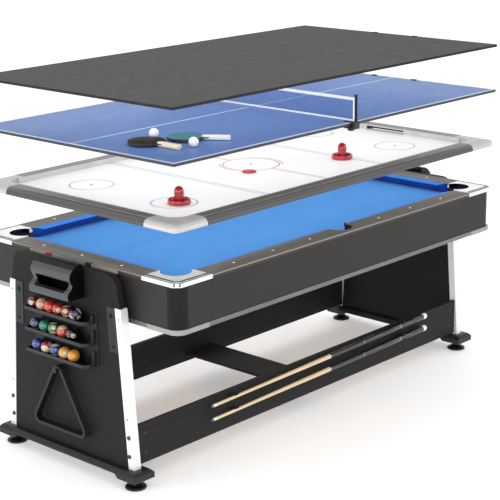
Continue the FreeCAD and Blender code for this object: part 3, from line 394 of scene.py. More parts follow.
def box_metallic():
    """Satin gun-metal front with a fine grain along the box, black cheeks and inside."""
    m = Mat("accessory_box_skin", hexc("#5a5a5e"), rough=0.32, metal=0.6)
    x, y, z = m.xyz()
    br = m.noise(7, 4, 0.6, m.vec((60, 0.8, 60)))
    col = m.ramp(br, [(0.35, hexc("#48484b")), (0.65, hexc("#525256"))])
    cheek = m.math("GREATER_THAN", m.math("ABSOLUTE", m.math("ADD", y, 0.0085)), 0.1186)
    inner = m.math("LESS_THAN", m.math("ABSOLUTE", x), 1.1832)
    dark = m.math("MAXIMUM", cheek, inner)
    m.color(m.mix(dark, col, m.ramp(m.noise(20, 3), [(0.3, hexc("#080809")), (0.7, hexc("#0e0e0f"))])))
    m.rough(m.remap(br, 0.3, 0.36))
    m.bump(br, 0.04, 0.0001)
    return m.m


M["abox"] = box_metallic()


# ------------------------------------------------------------------ geometry
def link(o):
    bpy.context.scene.collection.objects.link(o)
    return o


def piece(name, verts, faces, mats, body, idx=None, sharp=35, replaces=(), loc=None):
    me = bpy.data.meshes.new(name)
    me.from_pydata([tuple(v) for v in verts], [], faces)
    me.validate()
    bm = bmesh.new()
    bm.from_mesh(me)
    bmesh.ops.recalc_face_normals(bm, faces=bm.faces)
    bm.to_mesh(me)
    bm.free()
    for m in (mats if isinstance(mats, (list, tuple)) else [mats]):
        me.materials.append(m)
    if idx is not None and len(idx) == len(me.polygons):
        me.polygons.foreach_set("material_index", idx)
    me.polygons.foreach_set("use_smooth", [True] * len(me.polygons))
    me.set_sharp_from_angle(angle=radians(sharp))
    me.update()
    o = link(bpy.data.objects.new(name, me))
    if loc is not None:
        o.location = loc
    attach(o, body)
    if replaces:
        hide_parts(*replaces)
    return o


def fillet(pts, r, n=4, closed=False):
    """Rounds the corners of a 2-D polyline. r is one radius or one per point."""
    out = []
    N = len(pts)
    for i, p in enumerate(pts):
        ri = r[i] if isinstance(r, (list, tuple)) else r
        if (not closed and i in (0, N - 1)) or ri <= 0:
            out.append(p)
            continue
        a, b = pts[i - 1], pts[(i + 1) % N]
        da, db = hypot(a[0] - p[0], a[1] - p[1]), hypot(b[0] - p[0], b[1] - p[1])
        d = min(ri, da * 0.45, db * 0.45)
        s = (p[0] + (a[0] - p[0]) * d / da, p[1] + (a[1] - p[1]) * d / da)
        e = (p[0] + (b[0] - p[0]) * d / db, p[1] + (b[1] - p[1]) * d / db)
        for k in range(n + 1):
            t = k / n
            out.append(tuple((1 - t) ** 2 * s[j] + 2 * t * (1 - t) * p[j] + t * t * e[j] for j in (0, 1)))
    return out


def lathe(name, prof, at, mats, body, segs=72, axis="Z", mat_of=None, sharp=40, replaces=(), local=False):
    """Turns an (r, h) profile about an axis through at."""
    verts, faces, idx, rings = [], [], [], []
    ax, ay, az = (0, 0, 0) if local else at

    def pt(r, h, t):
        c, s = r * cos(t), r * sin(t)
        return (ax + c, ay + s, az + h) if axis == "Z" else (ax + h, ay + c, az + s)
    for r, h in prof:
        if r < 1e-7:
            rings.append([len(verts)])
            verts.append(pt(0, h, 0))
        else:
            rings.append(list(range(len(verts), len(verts) + segs)))
            verts += [pt(r, h, 2 * pi * k / segs) for k in range(segs)]
    for i in range(len(rings) - 1):
        a, b = rings[i], rings[i + 1]
        mi = mat_of((prof[i][0] + prof[i + 1][0]) / 2, (prof[i][1] + prof[i + 1][1]) / 2) if mat_of else 0
        for k in range(segs):
            l = (k + 1) % segs
            if len(a) == 1 and len(b) == 1:
                continue
            if len(a) == 1:
                faces.append((a[0], b[k], b[l]))
            elif len(b) == 1:
                faces.append((a[k], b[0], a[l]))
            else:
                faces.append((a[k], b[k], b[l], a[l]))
            idx.append(mi)
    return piece(name, verts, faces, mats, body, idx, sharp, replaces, loc=at if local else None)


def sweep(name, prof, x0, x1, mats, body, place, e0=None, e1=None, n=30, wob=None, sharp=35, replaces=(), face_mat=None):
    """Sweeps a closed 2-D profile from x0 to x1. e0/e1 give each profile point's own end offset."""
    verts, faces = [], []
    k = len(prof)
    for i in range(n + 1):
        s = i / n
        for (a, b) in prof:
            xs = x0 + (e0(a, b) if e0 else 0)
            xe = x1 - (e1(a, b) if e1 else 0)
            x = xs + (xe - xs) * s
            da, db = wob(s, a, b) if wob else (0, 0)
            verts.append(place(x, a + da, b + db))
    idx = []
    for i in range(n):
        for j in range(k):
            l = (j + 1) % k
            faces.append((i * k + j, i * k + l, (i + 1) * k + l, (i + 1) * k + j))
            idx.append(face_mat(prof[j], prof[l]) if face_mat else 0)
    faces.append(tuple(reversed(range(k))))
    faces.append(tuple(range(n * k, n * k + k)))
    idx += [1, 1] if face_mat else [0, 0]
    return piece(name, verts, faces, mats, body, idx, sharp=sharp, replaces=replaces)


def prism_lists(outline, z0, z1, verts, faces):
    """Adds a closed vertical prism to the lists."""
    o = len(verts)
    n = len(outline)
    verts += [(x, y, z0) for x, y in outline] + [(x, y, z1) for x, y in outline]
    faces.append(tuple(o + i for i in reversed(range(n))))
    faces.append(tuple(o + n + i for i in range(n)))
    for i in range(n):
        j = (i + 1) % n
        faces.append((o + i, o + j, o + n + j, o + n + i))


def ring_lists(cx, cy, r0, r1, z0, z1, verts, faces, n=96, a0=0.0, a1=2 * pi):
    """Adds a flat closed ring, or an arc of one, to the lists."""
    full = abs(a1 - a0 - 2 * pi) < 1e-6
    o = len(verts)
    m = n if full else n + 1
    for k in range(m):
        t = a0 + (a1 - a0) * k / n
        c, s = cos(t), sin(t)
        verts += [(cx + r0 * c, cy + r0 * s, z0), (cx + r1 * c, cy + r1 * s, z0), (cx + r1 * c, cy + r1 * s, z1), (cx + r0 * c, cy + r0 * s, z1)]
    for k in range(n):
        a, b = o + 4 * k, o + 4 * ((k + 1) % m)
        for i in range(4):
            j = (i + 1) % 4
            faces.append((a + i, a + j, b + j, b + i))
    if not full:
        faces.append((o, o + 3, o + 2, o + 1))
        e = o + 4 * (m - 1)
        faces.append((e, e + 1, e + 2, e + 3))


def rod(p, q, r, verts, faces, n=6):
    p, q = Vector(p), Vector(q)
    d = (q - p).normalized()
    u = d.orthogonal().normalized()
    v = d.cross(u)
    o = len(verts)
    for c in (p, q):
        for k in range(n):
            t = 2 * pi * k / n
            verts.append(tuple(c + u * r * cos(t) + v * r * sin(t)))
    for k in range(n):
        l = (k + 1) % n
        faces.append((o + k, o + l, o + n + l, o + n + k))
    faces.append(tuple(o + k for k in reversed(range(n))))
    faces.append(tuple(o + n + k for k in range(n)))


def refine(node, mat, w=0.0008, seg=2, angle=32, flat=0.6, extra=None):
    """A clean copy of a hard-edged node with eased edges, standing for it."""
    src = NODES[node]
    bm = bmesh.new()
    bm.from_mesh(src.data)
    bmesh.ops.remove_doubles(bm, verts=bm.verts, dist=1e-5)
    bmesh.ops.dissolve_limit(bm, angle_limit=radians(flat), verts=bm.verts, edges=bm.edges)
    bm.verts.ensure_lookup_table()
    bm.verts.index_update()
    vs = [tuple(v.co) for v in bm.verts]
    fs = [tuple(v.index for v in f.verts) for f in bm.faces]
    bm.free()
    me = bpy.data.meshes.new(node + "_fine")
    me.from_pydata(vs, [], fs)
    me.validate()
    me.materials.append(mat)
    for x in (extra or []):
        me.materials.append(x)
    me.polygons.foreach_set("use_smooth", [True] * len(me.polygons))
    me.update()
    o = link(bpy.data.objects.new(node + "_fine", me))
    if w > 0:
        mod = o.modifiers.new("ease", "BEVEL")
        mod.width = w
        mod.segments = seg
        mod.limit_method = "ANGLE"
        mod.angle_limit = radians(angle)
        mod.harden_normals = True
        mod.use_clamp_overlap = True
    else:
        me.set_sharp_from_angle(angle=radians(angle))
    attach(o, BODY[node])
    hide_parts(node)
    return o


def paint(node, mat):
    o = NODES[node]
    for s in o.material_slots:
        s.material = mat
    return o


# ------------------------------------------------------------- plain CAD nodes
refine("aprons", M["apron"], 0.0006)
refine("corner_posts", M["post"], 0.0005)
refine("bottom_trim_rails", M["trim"], 0.0012)
refine("bottom_corner_guards", M["guard"], 0.0015, 3)
refine("bottom_panel", M["board"], 0.0004)
refine("bed_joists", M["board"], 0.0004)
refine("pool_bed", M["board"], 0.0004)
refine("pool_rails", M["rail"], 0.0014, 3)
refine("corner_castings", M["chrome"], 0.0012, 3)
paint("pocket_cups", M["rubber"])
paint("small_screws", M["steel"])
refine("end_panel_left", M["panel"], 0.001)
refine("end_panel_right", M["panel"], 0.001)
refine("leg_extrusions", M["leg"], 0.0012, 3)
paint("frame_bolts", M["steel"])
refine("foot_beams", M["black"], 0.003, 3)
for n in ("leveller_front_left", "leveller_back_left", "leveller_front_right", "leveller_back_right"):
    paint(n, M["black"])
refine("cabinet_spacer_blocks", M["board"], 0.0004)
refine("stretchers", M["stretcher"], 0.001)
refine("cross_brace", M["stretcher"], 0.001)
refine("fixing_plates", M["plate"], 0.0008, 2)
refine("score_strip", M["strip"], 0.0003)
refine("score_marker_red", M["mark_red"], 0.0012, 3)
refine("score_marker_black", M["black"], 0.0012, 3)
refine("accessory_boxes", M["abox"], 0.003, 4, angle=40)
refine("ball_rack", M["black"], 0.0009, 2)
refine("ball_triangle", M["black"], 0.0015, 3)
refine("cue_clips", M["black"], 0.0006)
refine("hockey_surface", M["hk_deck"], 0.0004)
refine("hockey_plenum", M["board"], 0.0004)
refine("hockey_rails", M["hk_rail"], 0.0012, 3, angle=20)
refine("hockey_corner_brackets", M["bracket"], 0.0022, 4, angle=20)
refine("hockey_inner_walls", M["hk_wall"], 0.0005)
refine("hockey_goal_boxes", M["black"], 0.0004)
paint("blower_housing", M["black"])
paint("blower_rotor", M["black"])
refine("table_tennis_board", M["tt"], 0.0009, 2)
refine("net_posts", M["black"], 0.001)
refine("net_clamp_screw_front", M["black"], 0.0006)
refine("net_clamp_screw_back", M["black"], 0.0006)
refine("dining_board", M["dining"], 0.0012, 3)
paint("rail_sights", M["white_pl"])



# ------------------------------------------------------------------- bed cloth
def cloth():
    cu = bpy.data.curves.new("bed_cloth_cut", "CURVE")
    cu.dimensions = "2D"
    cu.fill_mode = "BOTH"
    cu.extrude = 0.0005
    R = 0.0412
    cx, cy = 1.005, 0.530
    outline = []
    for sx, sy, a0 in ((1, 1, 0), (-1, 1, 90), (-1, -1, 180), (1, -1, 270)):
        for k in range(9):
            t = radians(a0 + 90 * k / 8)
            outline.append((sx * cx + R * cos(t), sy * cy + R * sin(t)))
    # keep inside the bed
    outline = [(max(-1.045, min(1.045, x)), max(-0.570, min(0.570, y))) for x, y in outline]
    rings = [outline]
    for x, y, r in [(sx * 0.943, sy * 0.462, 0.0664) for sx in (-1, 1) for sy in (-1, 1)] + [(0, sy * 0.512, 0.0564) for sy in (-1, 1)]:
        rings.append([(x + r * cos(2 * pi * k / 64), y + r * sin(2 * pi * k / 64)) for k in range(64)])
    for ring in rings:
        keep = [(x, y) for x, y in ring]
        sp = cu.splines.new("POLY")
        sp.points.add(len(keep) - 1)
        for p, (x, y) in zip(sp.points, keep):
            p.co = (x, y, 0, 1)
        sp.use_cyclic_u = True
    tmp = link(bpy.data.objects.new("cloth_tmp", cu))
    dg = bpy.context.evaluated_depsgraph_get()
    me = bpy.data.meshes.new_from_object(tmp.evaluated_get(dg))
    bpy.data.objects.remove(tmp)
    bm = bmesh.new()
    bm.from_mesh(me)
    bmesh.ops.remove_doubles(bm, verts=bm.verts, dist=1e-6)
    for v in bm.verts:
        v.co.z += 0.8345
    vs = [tuple(v.co) for v in bm.verts]
    bm.verts.index_update()
    fs = [tuple(v.index for v in f.verts) for f in bm.faces]
    area = sum(f.calc_area() for f in bm.faces if f.normal.z > 0.9)
    bm.free()
    o = piece("bed_cloth_felt", vs, fs, M["felt"], "table_base", replaces=("bed_cloth",))
    print("cloth area", area)
    return o


cloth()

# -------------------------------------------------------------------- cushions
BED, TOP = 0.835, 0.880


def cushion(name, x0, x1, back, place, ramp0, ramp1, n):
    """Cloth-covered rubber nose. a runs from the rail (0) to the nose (0.035), b is height."""
    nose = 0.035
    raw = [(0.0, BED + 0.003), (0.0, TOP - 0.001), (0.012, TOP - 0.0018), (nose - 0.004, TOP - 0.0048), (nose - 0.0002, TOP - 0.0098), (nose - 0.0035, TOP - 0.0145), (nose - 0.012, TOP - 0.0245), (nose - 0.0225, BED + 0.0042)]
    prof = fillet(raw, [0.001, 0.0015, 0.006, 0.006, 0.0045, 0.006, 0.008, 0.001], 4, closed=True)

    def wob(s, a, b):
        w = min(s, 1 - s) * (x1 - x0)
        k = a / nose
        tuck = 0.0006 * sin(w * 900 + b * 300) * max(0.0, 1 - w / 0.03) * k
        crown = -0.0007 * max(0.0, 1 - w / 0.012) * k
        return (crown + tuck * 0.5, tuck * 0.6)
    # faces below the top of the nose and the end caps take the darker felt, which is painted shade
    return sweep(name, prof, x0, x1, [M["cush"], M["cush_face"]], "table_base", place,
                 e0=lambda a, b: ramp0 * a / nose + 0.0002, e1=lambda a, b: ramp1 * a / nose + 0.0002, n=n, wob=wob, sharp=50,
                 face_mat=lambda p, q: 0 if (p[1] + q[1]) / 2 > TOP - 0.0085 else 1)


parts = []
for sy in (-1, 1):
    for sx in (-1, 1):
        parts.append(cushion("cushion_long_%s_%s" % ("front" if sy < 0 else "back", "left" if sx < 0 else "right"), 0.072, 0.868, None,
                             lambda x, a, b, sx=sx, sy=sy: (sx * x, sy * (0.500 - a), b), 0.014, 0.036, 90))
for sx in (-1, 1):
    parts.append(cushion("cushion_end_%s" % ("left" if sx < 0 else "right"), -0.392, 0.392, None,
                         lambda x, a, b, sx=sx: (sx * (0.975 - a), x, b), 0.036, 0.036, 90))
for c in parts:
    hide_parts("cushions")

# ---------------------------------------------------------------- tennis net
def tennis_net():
    y0, y1, z0, z1 = -0.5925, 0.5925, 1.351, 1.452
    v, f = [], []
    s, r = 0.005, 0.00066
    n = int((y1 - y0) / s)
    for i in range(1, n):
        y = y0 + i * (y1 - y0) / n
        rod((0.00035, y, z0 + 0.002), (0.00035, y, z1 - 0.002), r, v, f)
    m = int((z1 - z0) / s)
    for i in range(1, m):
        z = z0 + i * (z1 - z0) / m
        rod((-0.00035, y0 + 0.001, z), (-0.00035, y1 - 0.001, z), r, v, f)
    net = piece("tennis_net_mesh", v, f, M["net_blue"], "tennis_top", sharp=80, replaces=("tennis_net",))

    def tape(name, pts, w):
        """Folded cotton tape: a thin rounded band over an edge of the net."""
        prof = fillet([(-0.0013, -w / 2), (0.0013, -w / 2), (0.0013, w / 2), (-0.0013, w / 2)], 0.0009, 3, closed=True)
        (ya, za), (yb, zb) = pts
        horiz = abs(yb - ya) > abs(zb - za)
        L = hypot(yb - ya, zb - za)
        k = len(prof)
        vv, ff = [], []
        N = max(2, int(L / 0.004))
        for i in range(N + 1):
            t = i / N
            pin = 0.00025 * (1 if i % 2 else 0)
            for a, b in prof:
                a2 = a - (pin if a > 0 else -pin)
                vv.append((a2, ya + (yb - ya) * t, za + b) if horiz else (a2, ya + b, za + (zb - za) * t))
        for i in range(N):
            for j in range(k):
                l = (j + 1) % k
                ff.append((i * k + j, i * k + l, (i + 1) * k + l, (i + 1) * k + j))
        ff.append(tuple(reversed(range(k))))
        ff.append(tuple(range(N * k, N * k + k)))
        o = piece(name, vv, ff, M["tape"], "tennis_top", sharp=60)
        return o
    tape("net_tape_top", ((y0 - 0.001, z1 - 0.0065), (y1 + 0.001, z1 - 0.0065)), 0.013)
    tape("net_tape_bottom", ((y0 - 0.001, z0 + 0.004), (y1 + 0.001, z0 + 0.004)), 0.008)
    tape("net_tape_front", ((y0 + 0.004, z0 + 0.003), (y0 + 0.004, z1 - 0.006)), 0.009)
    tape("net_tape_back", ((y1 - 0.004, z0 + 0.003), (y1 - 0.004, z1 - 0.006)), 0.009)


tennis_net()

# ---------------------------------------------------------- table-tennis lines
ZT = 1.347


def decal(name, mats, body, build):
    v, f = [], []
    build(v, f)
    return piece(name, v, f, mats, body, sharp=30)


def tt_lines(v, f):
    X, Y, w = 1.062, 0.587, 0.010
    z0, z1 = ZT - 0.0004, ZT + 0.00012
    for s in (-1, 1):
        a, b = sorted((s * Y, s * (Y - w)))
        prism_lists([(-X, a), (X, a), (X, b), (-X, b)], z0, z1, v, f)
        a, b = sorted((s * X, s * (X - w)))
        prism_lists([(a, -Y + w), (b, -Y + w), (b, Y - w), (a, Y - w)], z0, z1, v, f)
        a, b = sorted((s * 0.021, s * (X - w)))
        prism_lists([(a, -0.0032), (b, -0.0032), (b, 0.0032), (a, 0.0032)], z0, z1, v, f)


decal("tennis_lines", M["ink_white"], "tennis_top", tt_lines)


# --------------------------------------------------------------- bats and balls
def bat_materials(tag, rub1, rub2, wood1, wood2):
    m = Mat("bat_rubber_" + tag, hexc(rub1), rough=0.55, spec=0.35)
    x, y, z = m.xyz()
    pim = m.cells(520, rnd=0.05)
    m.color(m.ramp(m.math("ADD", m.math("MULTIPLY", m.noise(18, 4), 0.6), m.math("MULTIPLY", m.noise(400, 2), 0.4)), [(0.35, hexc(rub1)), (0.65, hexc(rub2))]))
    m.rough(m.remap(m.noise(30, 4), 0.5, 0.68))
    m.bump(m.ramp(pim, [(0.25, 1.0), (0.45, 0.0)]), 0.35, 0.0003)
    sp = moulded("bat_sponge_" + tag, "#22201e", "#2e2b28", 0.8, 0.95, grain=700, bstr=0.5)
    w = Mat("bat_wood_" + tag, hexc(wood1), rough=0.4, spec=0.45)
    g = w.noise(9, 4, 0.6, w.vec((2.5, 60, 60)), 0.4)
    w.color(w.ramp(g, [(0.35, hexc(wood1)), (0.65, hexc(wood2))]))
    w.rough(w.remap(g, 0.32, 0.5))
    w.bump(g, 0.2, 0.0001)
    ply = Mat("bat_ply_" + tag, hexc("#b98a58"), rough=0.6)
    lz = ply.math("SINE", ply.math("MULTIPLY", ply.xyz()[2], 5200))
    ply.color(ply.ramp(lz, [(0.3, hexc("#2a211a")), (0.7, hexc("#4a3a2b"))]))
    ply.rough(ply.remap(ply.noise(80, 3), 0.5, 0.7))
    ply.bump(lz, 0.2, 0.0002)
    return m.m, sp, w.m, ply.m


def bat(name, cx, cy, hx, hy, mats, stripe):
    """Blade of plywood with sponge and rubber on both faces, and a wooden handle. Local frame: handle along +X."""
    rub, sp, wood, ply = mats
    a = atan2(hy - cy, hx - cx)
    z0 = ZT + 0.0004
    R = 0.0757
    v, f, idx = [], [], []

    def loop(k, r_off):
        """Blade outline: a circle, inset by r_off."""
        out = []
        for i in range(k):
            t = 2 * pi * i / k
            r = (R - r_off) * (1 + 0.0 * cos(t))
            out.append((r * cos(t), r * sin(t)))
        return out

    def stack(layers, K=96):
        base = len(v)
        for inset, z, mi in layers:
            for (x, y) in loop(K, inset):
                v.append((x, y, z))
        L = len(layers)
        f.append(tuple(base + i for i in reversed(range(K))))
        idx.append(layers[0][2])
        for q in range(L - 1):
            for i in range(K):
                j = (i + 1) % K
                f.append((base + q * K + i, base + q * K + j, base + (q + 1) * K + j, base + (q + 1) * K + i))
                idx.append(layers[q + 1][2])
        f.append(tuple(base + (L - 1) * K + i for i in range(K)))
        idx.append(layers[-1][2])
    zb, zt = z0 + 0.006, z0 + 0.0156
    stack([(0.0012, zb, 0), (0.0006, zb + 0.0004, 0), (0.0005, zb + 0.0012, 0), (0.0007, zb + 0.0013, 1), (0.0007, zb + 0.0023, 1), (0.0001, zb + 0.00235, 3),
           (0.0001, zt - 0.00235, 3), (0.0007, zt - 0.0023, 1), (0.0007, zt - 0.0013, 1), (0.0005, zt - 0.0012, 0), (0.0006, zt - 0.0004, 0), (0.0012, zt, 0)])
    # neck between blade and handle (plywood core)
    nk = fillet([(0.062, -0.027), (0.086, -0.0128), (0.100, -0.0128), (0.100, 0.0128), (0.086, 0.0128), (0.062, 0.027)], 0.006, 4, closed=True)
    c = len(f)
    prism_lists(nk, zb + 0.0024, zt - 0.0024, v, f)
    idx += [3] * (len(f) - c)
    # handle halves: a swelling oval section above and below the core
    secs = [(0.066, 0.0100, 0.0062), (0.070, 0.0125, 0.0085), (0.080, 0.0131, 0.0100), (0.100, 0.0124, 0.0104), (0.130, 0.0126, 0.0104), (0.160, 0.0133, 0.0106), (0.178, 0.0134, 0.0107), (0.1812, 0.0128, 0.0101), (0.1820, 0.0118, 0.0090)]
    K = 32
    zc = z0 + 0.0108
    base = len(v)
    for x, wy, hz in secs:
        for i in range(K):
            t = 2 * pi * i / K
            cy_, sz_ = cos(t), sin(t)
            e = 0.62
            yy = wy * (abs(cy_) ** e) * (1 if cy_ >= 0 else -1)
            zz = hz * (abs(sz_) ** e) * (1 if sz_ >= 0 else -1)
            v.append((x, yy, zc + zz))
    f.append(tuple(base + i for i in reversed(range(K))))
    idx.append(2)
    for q in range(len(secs) - 1):
        for i in range(K):
            j = (i + 1) % K
            f.append((base + q * K + i, base + q * K + j, base + (q + 1) * K + j, base + (q + 1) * K + i))
            idx.append(2)
    f.append(tuple(base + (len(secs) - 1) * K + i for i in range(K)))
    idx.append(2)
    ca, sa = cos(a), sin(a)
    vv = [(x * ca - y * sa, x * sa + y * ca, z) for x, y, z in v]
    o = piece(name + "_paddle", [(x, y, z - zc) for x, y, z in vv], f, [rub, sp, wood, ply], name, idx, 40, replaces=(name,), loc=(cx, cy, zc))
    return o


bat("bat_dark", -0.873, -0.244, -0.871, -0.437, bat_materials("dark", "#2b241e", "#3a3129", "#d8c8a8", "#efe4cb"), None)
bat("bat_teal", -0.712, -0.300, -0.598, -0.464, bat_materials("teal", "#3d7386", "#4f8698", "#dcdad4", "#f2f0ea"), None)

def tennis_ball(node, at):
    m = Mat(node + "_skin", hexc("#f1efe9"), rough=0.5, spec=0.4)
    n = m.tc.outputs["Object"]
    x, y, z = m.xyz()
    seam = m.math("COMPARE", m.math("ADD", z, m.math("MULTIPLY", x, 0.4)), 0.0, 0.0002)
    m.color(m.mix(m.math("MULTIPLY", seam, 0.35), m.ramp(m.noise(90, 4), [(0.3, hexc("#eae8e1")), (0.7, hexc("#f7f5f0"))]), hexc("#c9c4b8")))
    m.rough(m.remap(m.noise(200, 3), 0.45, 0.62))
    m.bump(m.noise(1200, 2), 0.2, 0.00008)
    r = 0.020
    prof = [(r * sin(pi * k / 40), -r * cos(pi * k / 40)) for k in range(41)]
    return lathe(node + "_shell", prof, at, m.m, BODY[node], segs=64, replaces=(node,), local=True, sharp=60)


tennis_ball("tennis_ball_left", (-0.768, -0.178, 1.3674))
tennis_ball("tennis_ball_right", (-0.795, -0.428, 1.3674))

# -------------------------------------------------------------------- pool balls
def ball_skin(name, col, striped, axis, d, ivory="#bfae8b", number=True):
    m = Mat(name, hexc(col), rough=0.07, coat=0.8, coat_rough=0.03, spec=0.6)
    nrm = m.node("ShaderNodeVectorMath", operation="NORMALIZE")
    m.put(nrm.inputs[0], m.tc.outputs["Object"])

    def dot(w):
        n = m.node("ShaderNodeVectorMath", operation="DOT_PRODUCT")
        m.put(n.inputs[0], nrm.outputs[0])
        n.inputs[1].default_value = w
        return n.outputs["Value"]
    c = m.ramp(m.noise(60, 3), [(0.3, hexc(col, 0.66)), (0.7, hexc(col, 0.82))])
    iv = m.ramp(m.noise(50, 4), [(0.3, hexc(ivory, 0.9)), (0.7, hexc(ivory, 1.04))])
    if striped:
        band = m.math("GREATER_THAN", m.math("ABSOLUTE", dot(axis)), 0.66)
        c = m.mix(band, c, iv)
    if number:
        disc = m.math("GREATER_THAN", m.math("ABSOLUTE", dot(d)), 0.925)
        c = m.mix(disc, c, iv)
    m.color(c)
    m.rough(m.remap(m.noise(260, 3, 0.7), 0.05, 0.13))
    m.bump(m.noise(90, 2), 0.015, 0.0001)
    return m.m


def glyphs(text, size):
    cu = bpy.data.curves.new("digits", "FONT")
    cu.body = text
    cu.size = size
    cu.align_x = "CENTER"
    cu.align_y = "CENTER"
    cu.extrude = 0.00006
    tmp = link(bpy.data.objects.new("digits_tmp", cu))
    dg = bpy.context.evaluated_depsgraph_get()
    me = bpy.data.meshes.new_from_object(tmp.evaluated_get(dg))
    bpy.data.objects.remove(tmp)
    bm = bmesh.new()
    bm.from_mesh(me)
    bmesh.ops.remove_doubles(bm, verts=bm.verts, dist=1e-7)
    bm.verts.index_update()
    v = [tuple(q.co) for q in bm.verts]
    f = [tuple(q.index for q in p.verts) for p in bm.faces]
    bm.free()
    return v, f


def pool_ball(name, at, body, col, striped, num, d, up=(0, 0, 1), axis=None):
    r = 0.0254
    d = Vector(d).normalized()
    u = Vector(up)
    u = (u - d * u.dot(d)).normalized()
    side = u.cross(d).normalized()
    ax = Vector(axis).normalized() if axis else u
    K, S = 36, 56
    v, f, idx = [], [], []
    rings = []
    for i in range(K + 1):
        t = pi * i / K
        if i in (0, K):
            rings.append([len(v)])
            v.append((0, 0, -r * cos(t)))
        else:
            rings.append(list(range(len(v), len(v) + S)))
            v += [(r * sin(t) * cos(2 * pi * k / S), r * sin(t) * sin(2 * pi * k / S), -r * cos(t)) for k in range(S)]
    for i in range(K):
        a, b = rings[i], rings[i + 1]
        for k in range(S):
            l = (k + 1) % S
            f.append((a[0], b[k], b[l]) if len(a) == 1 else (a[k], b[0], a[l]) if len(b) == 1 else (a[k], b[k], b[l], a[l]))
            idx.append(0)
    if num:
        gv, gf = glyphs(str(num), 0.0125)
        for sgn in (1, -1):
            o = len(v)
            for (x, y, z) in gv:
                p = (d * sgn) * r + side * (x * sgn) + u * y
                p = p.normalized() * (r + 0.00005 + z)
                v.append(tuple(p))
            for q in gf:
                f.append(tuple(o + i for i in q))
                idx.append(1)
    skin = ball_skin(name + "_resin", col, striped, tuple(ax), tuple(d), number=bool(num))
    return piece(name, v, f, [skin, M["ink_black"]], body, idx, 60, loc=at)


RX = -1.158
D2 = 0.0511
rows = {
    "top": (0.656, [0.152 - i * D2 for i in range(6)], [
        ("#571019", False, 7, (-0.86, -0.30, 0.10)), ("#d3a079", False, None, (0, 0, 1)), ("#d22c17", False, 5, (0.5, 0.3, 0.8)),
        ("#b3201f", False, 3, (-0.62, -0.74, 0.10)), ("#7a1018", True, 15, (-0.75, -0.55, 0.1)), ("#1b1238", True, 12, (-0.3, -0.75, -0.58))]),
    "middle": (0.566, [0.143 - i * (D2 - 0.0003 + 0.0043) for i in range(5)], [
        ("#2c1f4e", False, 4, (0.3, 0.4, 0.85)), ("#0c7249", False, 6, (0.4, 0.3, 0.8)), ("#0e6b47", True, 14, (-0.66, -0.74, -0.10)),
        ("#cc3a26", True, 13, (0.2, -0.98, 0.1)), ("#0b0b0c", False, 8, (-0.45, -0.88, -0.05))]),
    "bottom": (0.476, [0.138 - i * (D2 - 0.0003 + 0.0043) for i in range(5)], [
        ("#18357e", False, 2, (0.3, 0.4, 0.85)), ("#a01c2c", True, 11, (-0.2, -0.9, 0.45)), ("#173a8c", True, 10, (0.3, -0.9, -0.2)),
        ("#dd9a1e", True, 9, (-0.95, 0.18, -0.28)), ("#e3930c", False, 1, (0.35, -0.5, 0.8))]),
}
AX = {("top", 5): (0.66, -0.31, 0.57), ("top", 4): (0.25, 0.3, 0.92), ("middle", 2): (0.30, 0.36, 0.88), ("middle", 3): (-0.10, -0.10, 0.98),
      ("bottom", 1): (-0.88, -0.36, -0.30), ("bottom", 2): (0.12, 0.16, 0.97), ("bottom", 3): (0.25, 0.95, 0.1)}
for row, (zs, ys, defs) in rows.items():
    made = []
    for i, (y, (col, st, num, d)) in enumerate(zip(ys, defs)):
        ax = AX.get((row, i))
        if ax is not None and num:
            a, dd = Vector(ax), Vector(d).normalized()
            dd = (dd - a.normalized() * dd.dot(a.normalized())).normalized()
            d = tuple(dd)
        made.append(pool_ball("pool_ball_%s_%d" % (row, i + 1), (RX, y, zs + 0.003 + 0.0254 + 0.0003), "balls_" + row, col, st, num, d, up=(0, 0, 1) if abs(Vector(d).normalized().z) < 0.9 else (0, 1, 0), axis=ax))
    for o in made:
        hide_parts("pool_balls_%s_row" % row)

# -------------------------------------------------------------------------- cues
def cue_materials():
    m = Mat("cue_maple", hexc("#d9c39a"), rough=0.25, coat=0.4, coat_rough=0.1)
    g = m.noise(7, 5, 0.6, m.vec((1.2, 90, 90)), 0.5)
    m.color(m.ramp(g, [(0.3, hexc("#c9ad7c")), (0.5, hexc("#dcc59b")), (0.72, hexc("#e9d8b4"))]))
    m.rough(m.remap(g, 0.2, 0.34))
    m.bump(g, 0.06, 0.0001)
    b = clear_gloss("cue_butt", "#0d0d0f", "#17171a", r=0.14, coat=0.6)
    w = moulded("cue_ferrule", "#e9e7e0", "#f5f3ee", 0.22, 0.32, grain=900, bstr=0.06)
    t = moulded("cue_tip", "#4a6a86", "#5d7d98", 0.85, 0.95, grain=900, bstr=0.6, mott=200)
    s = brushed("cue_ring", "#9d9da0", "#c4c4c6", (200, 10, 10), 0.15, 0.25)
    return [m.m, b, w, t, s]


CM = cue_materials()


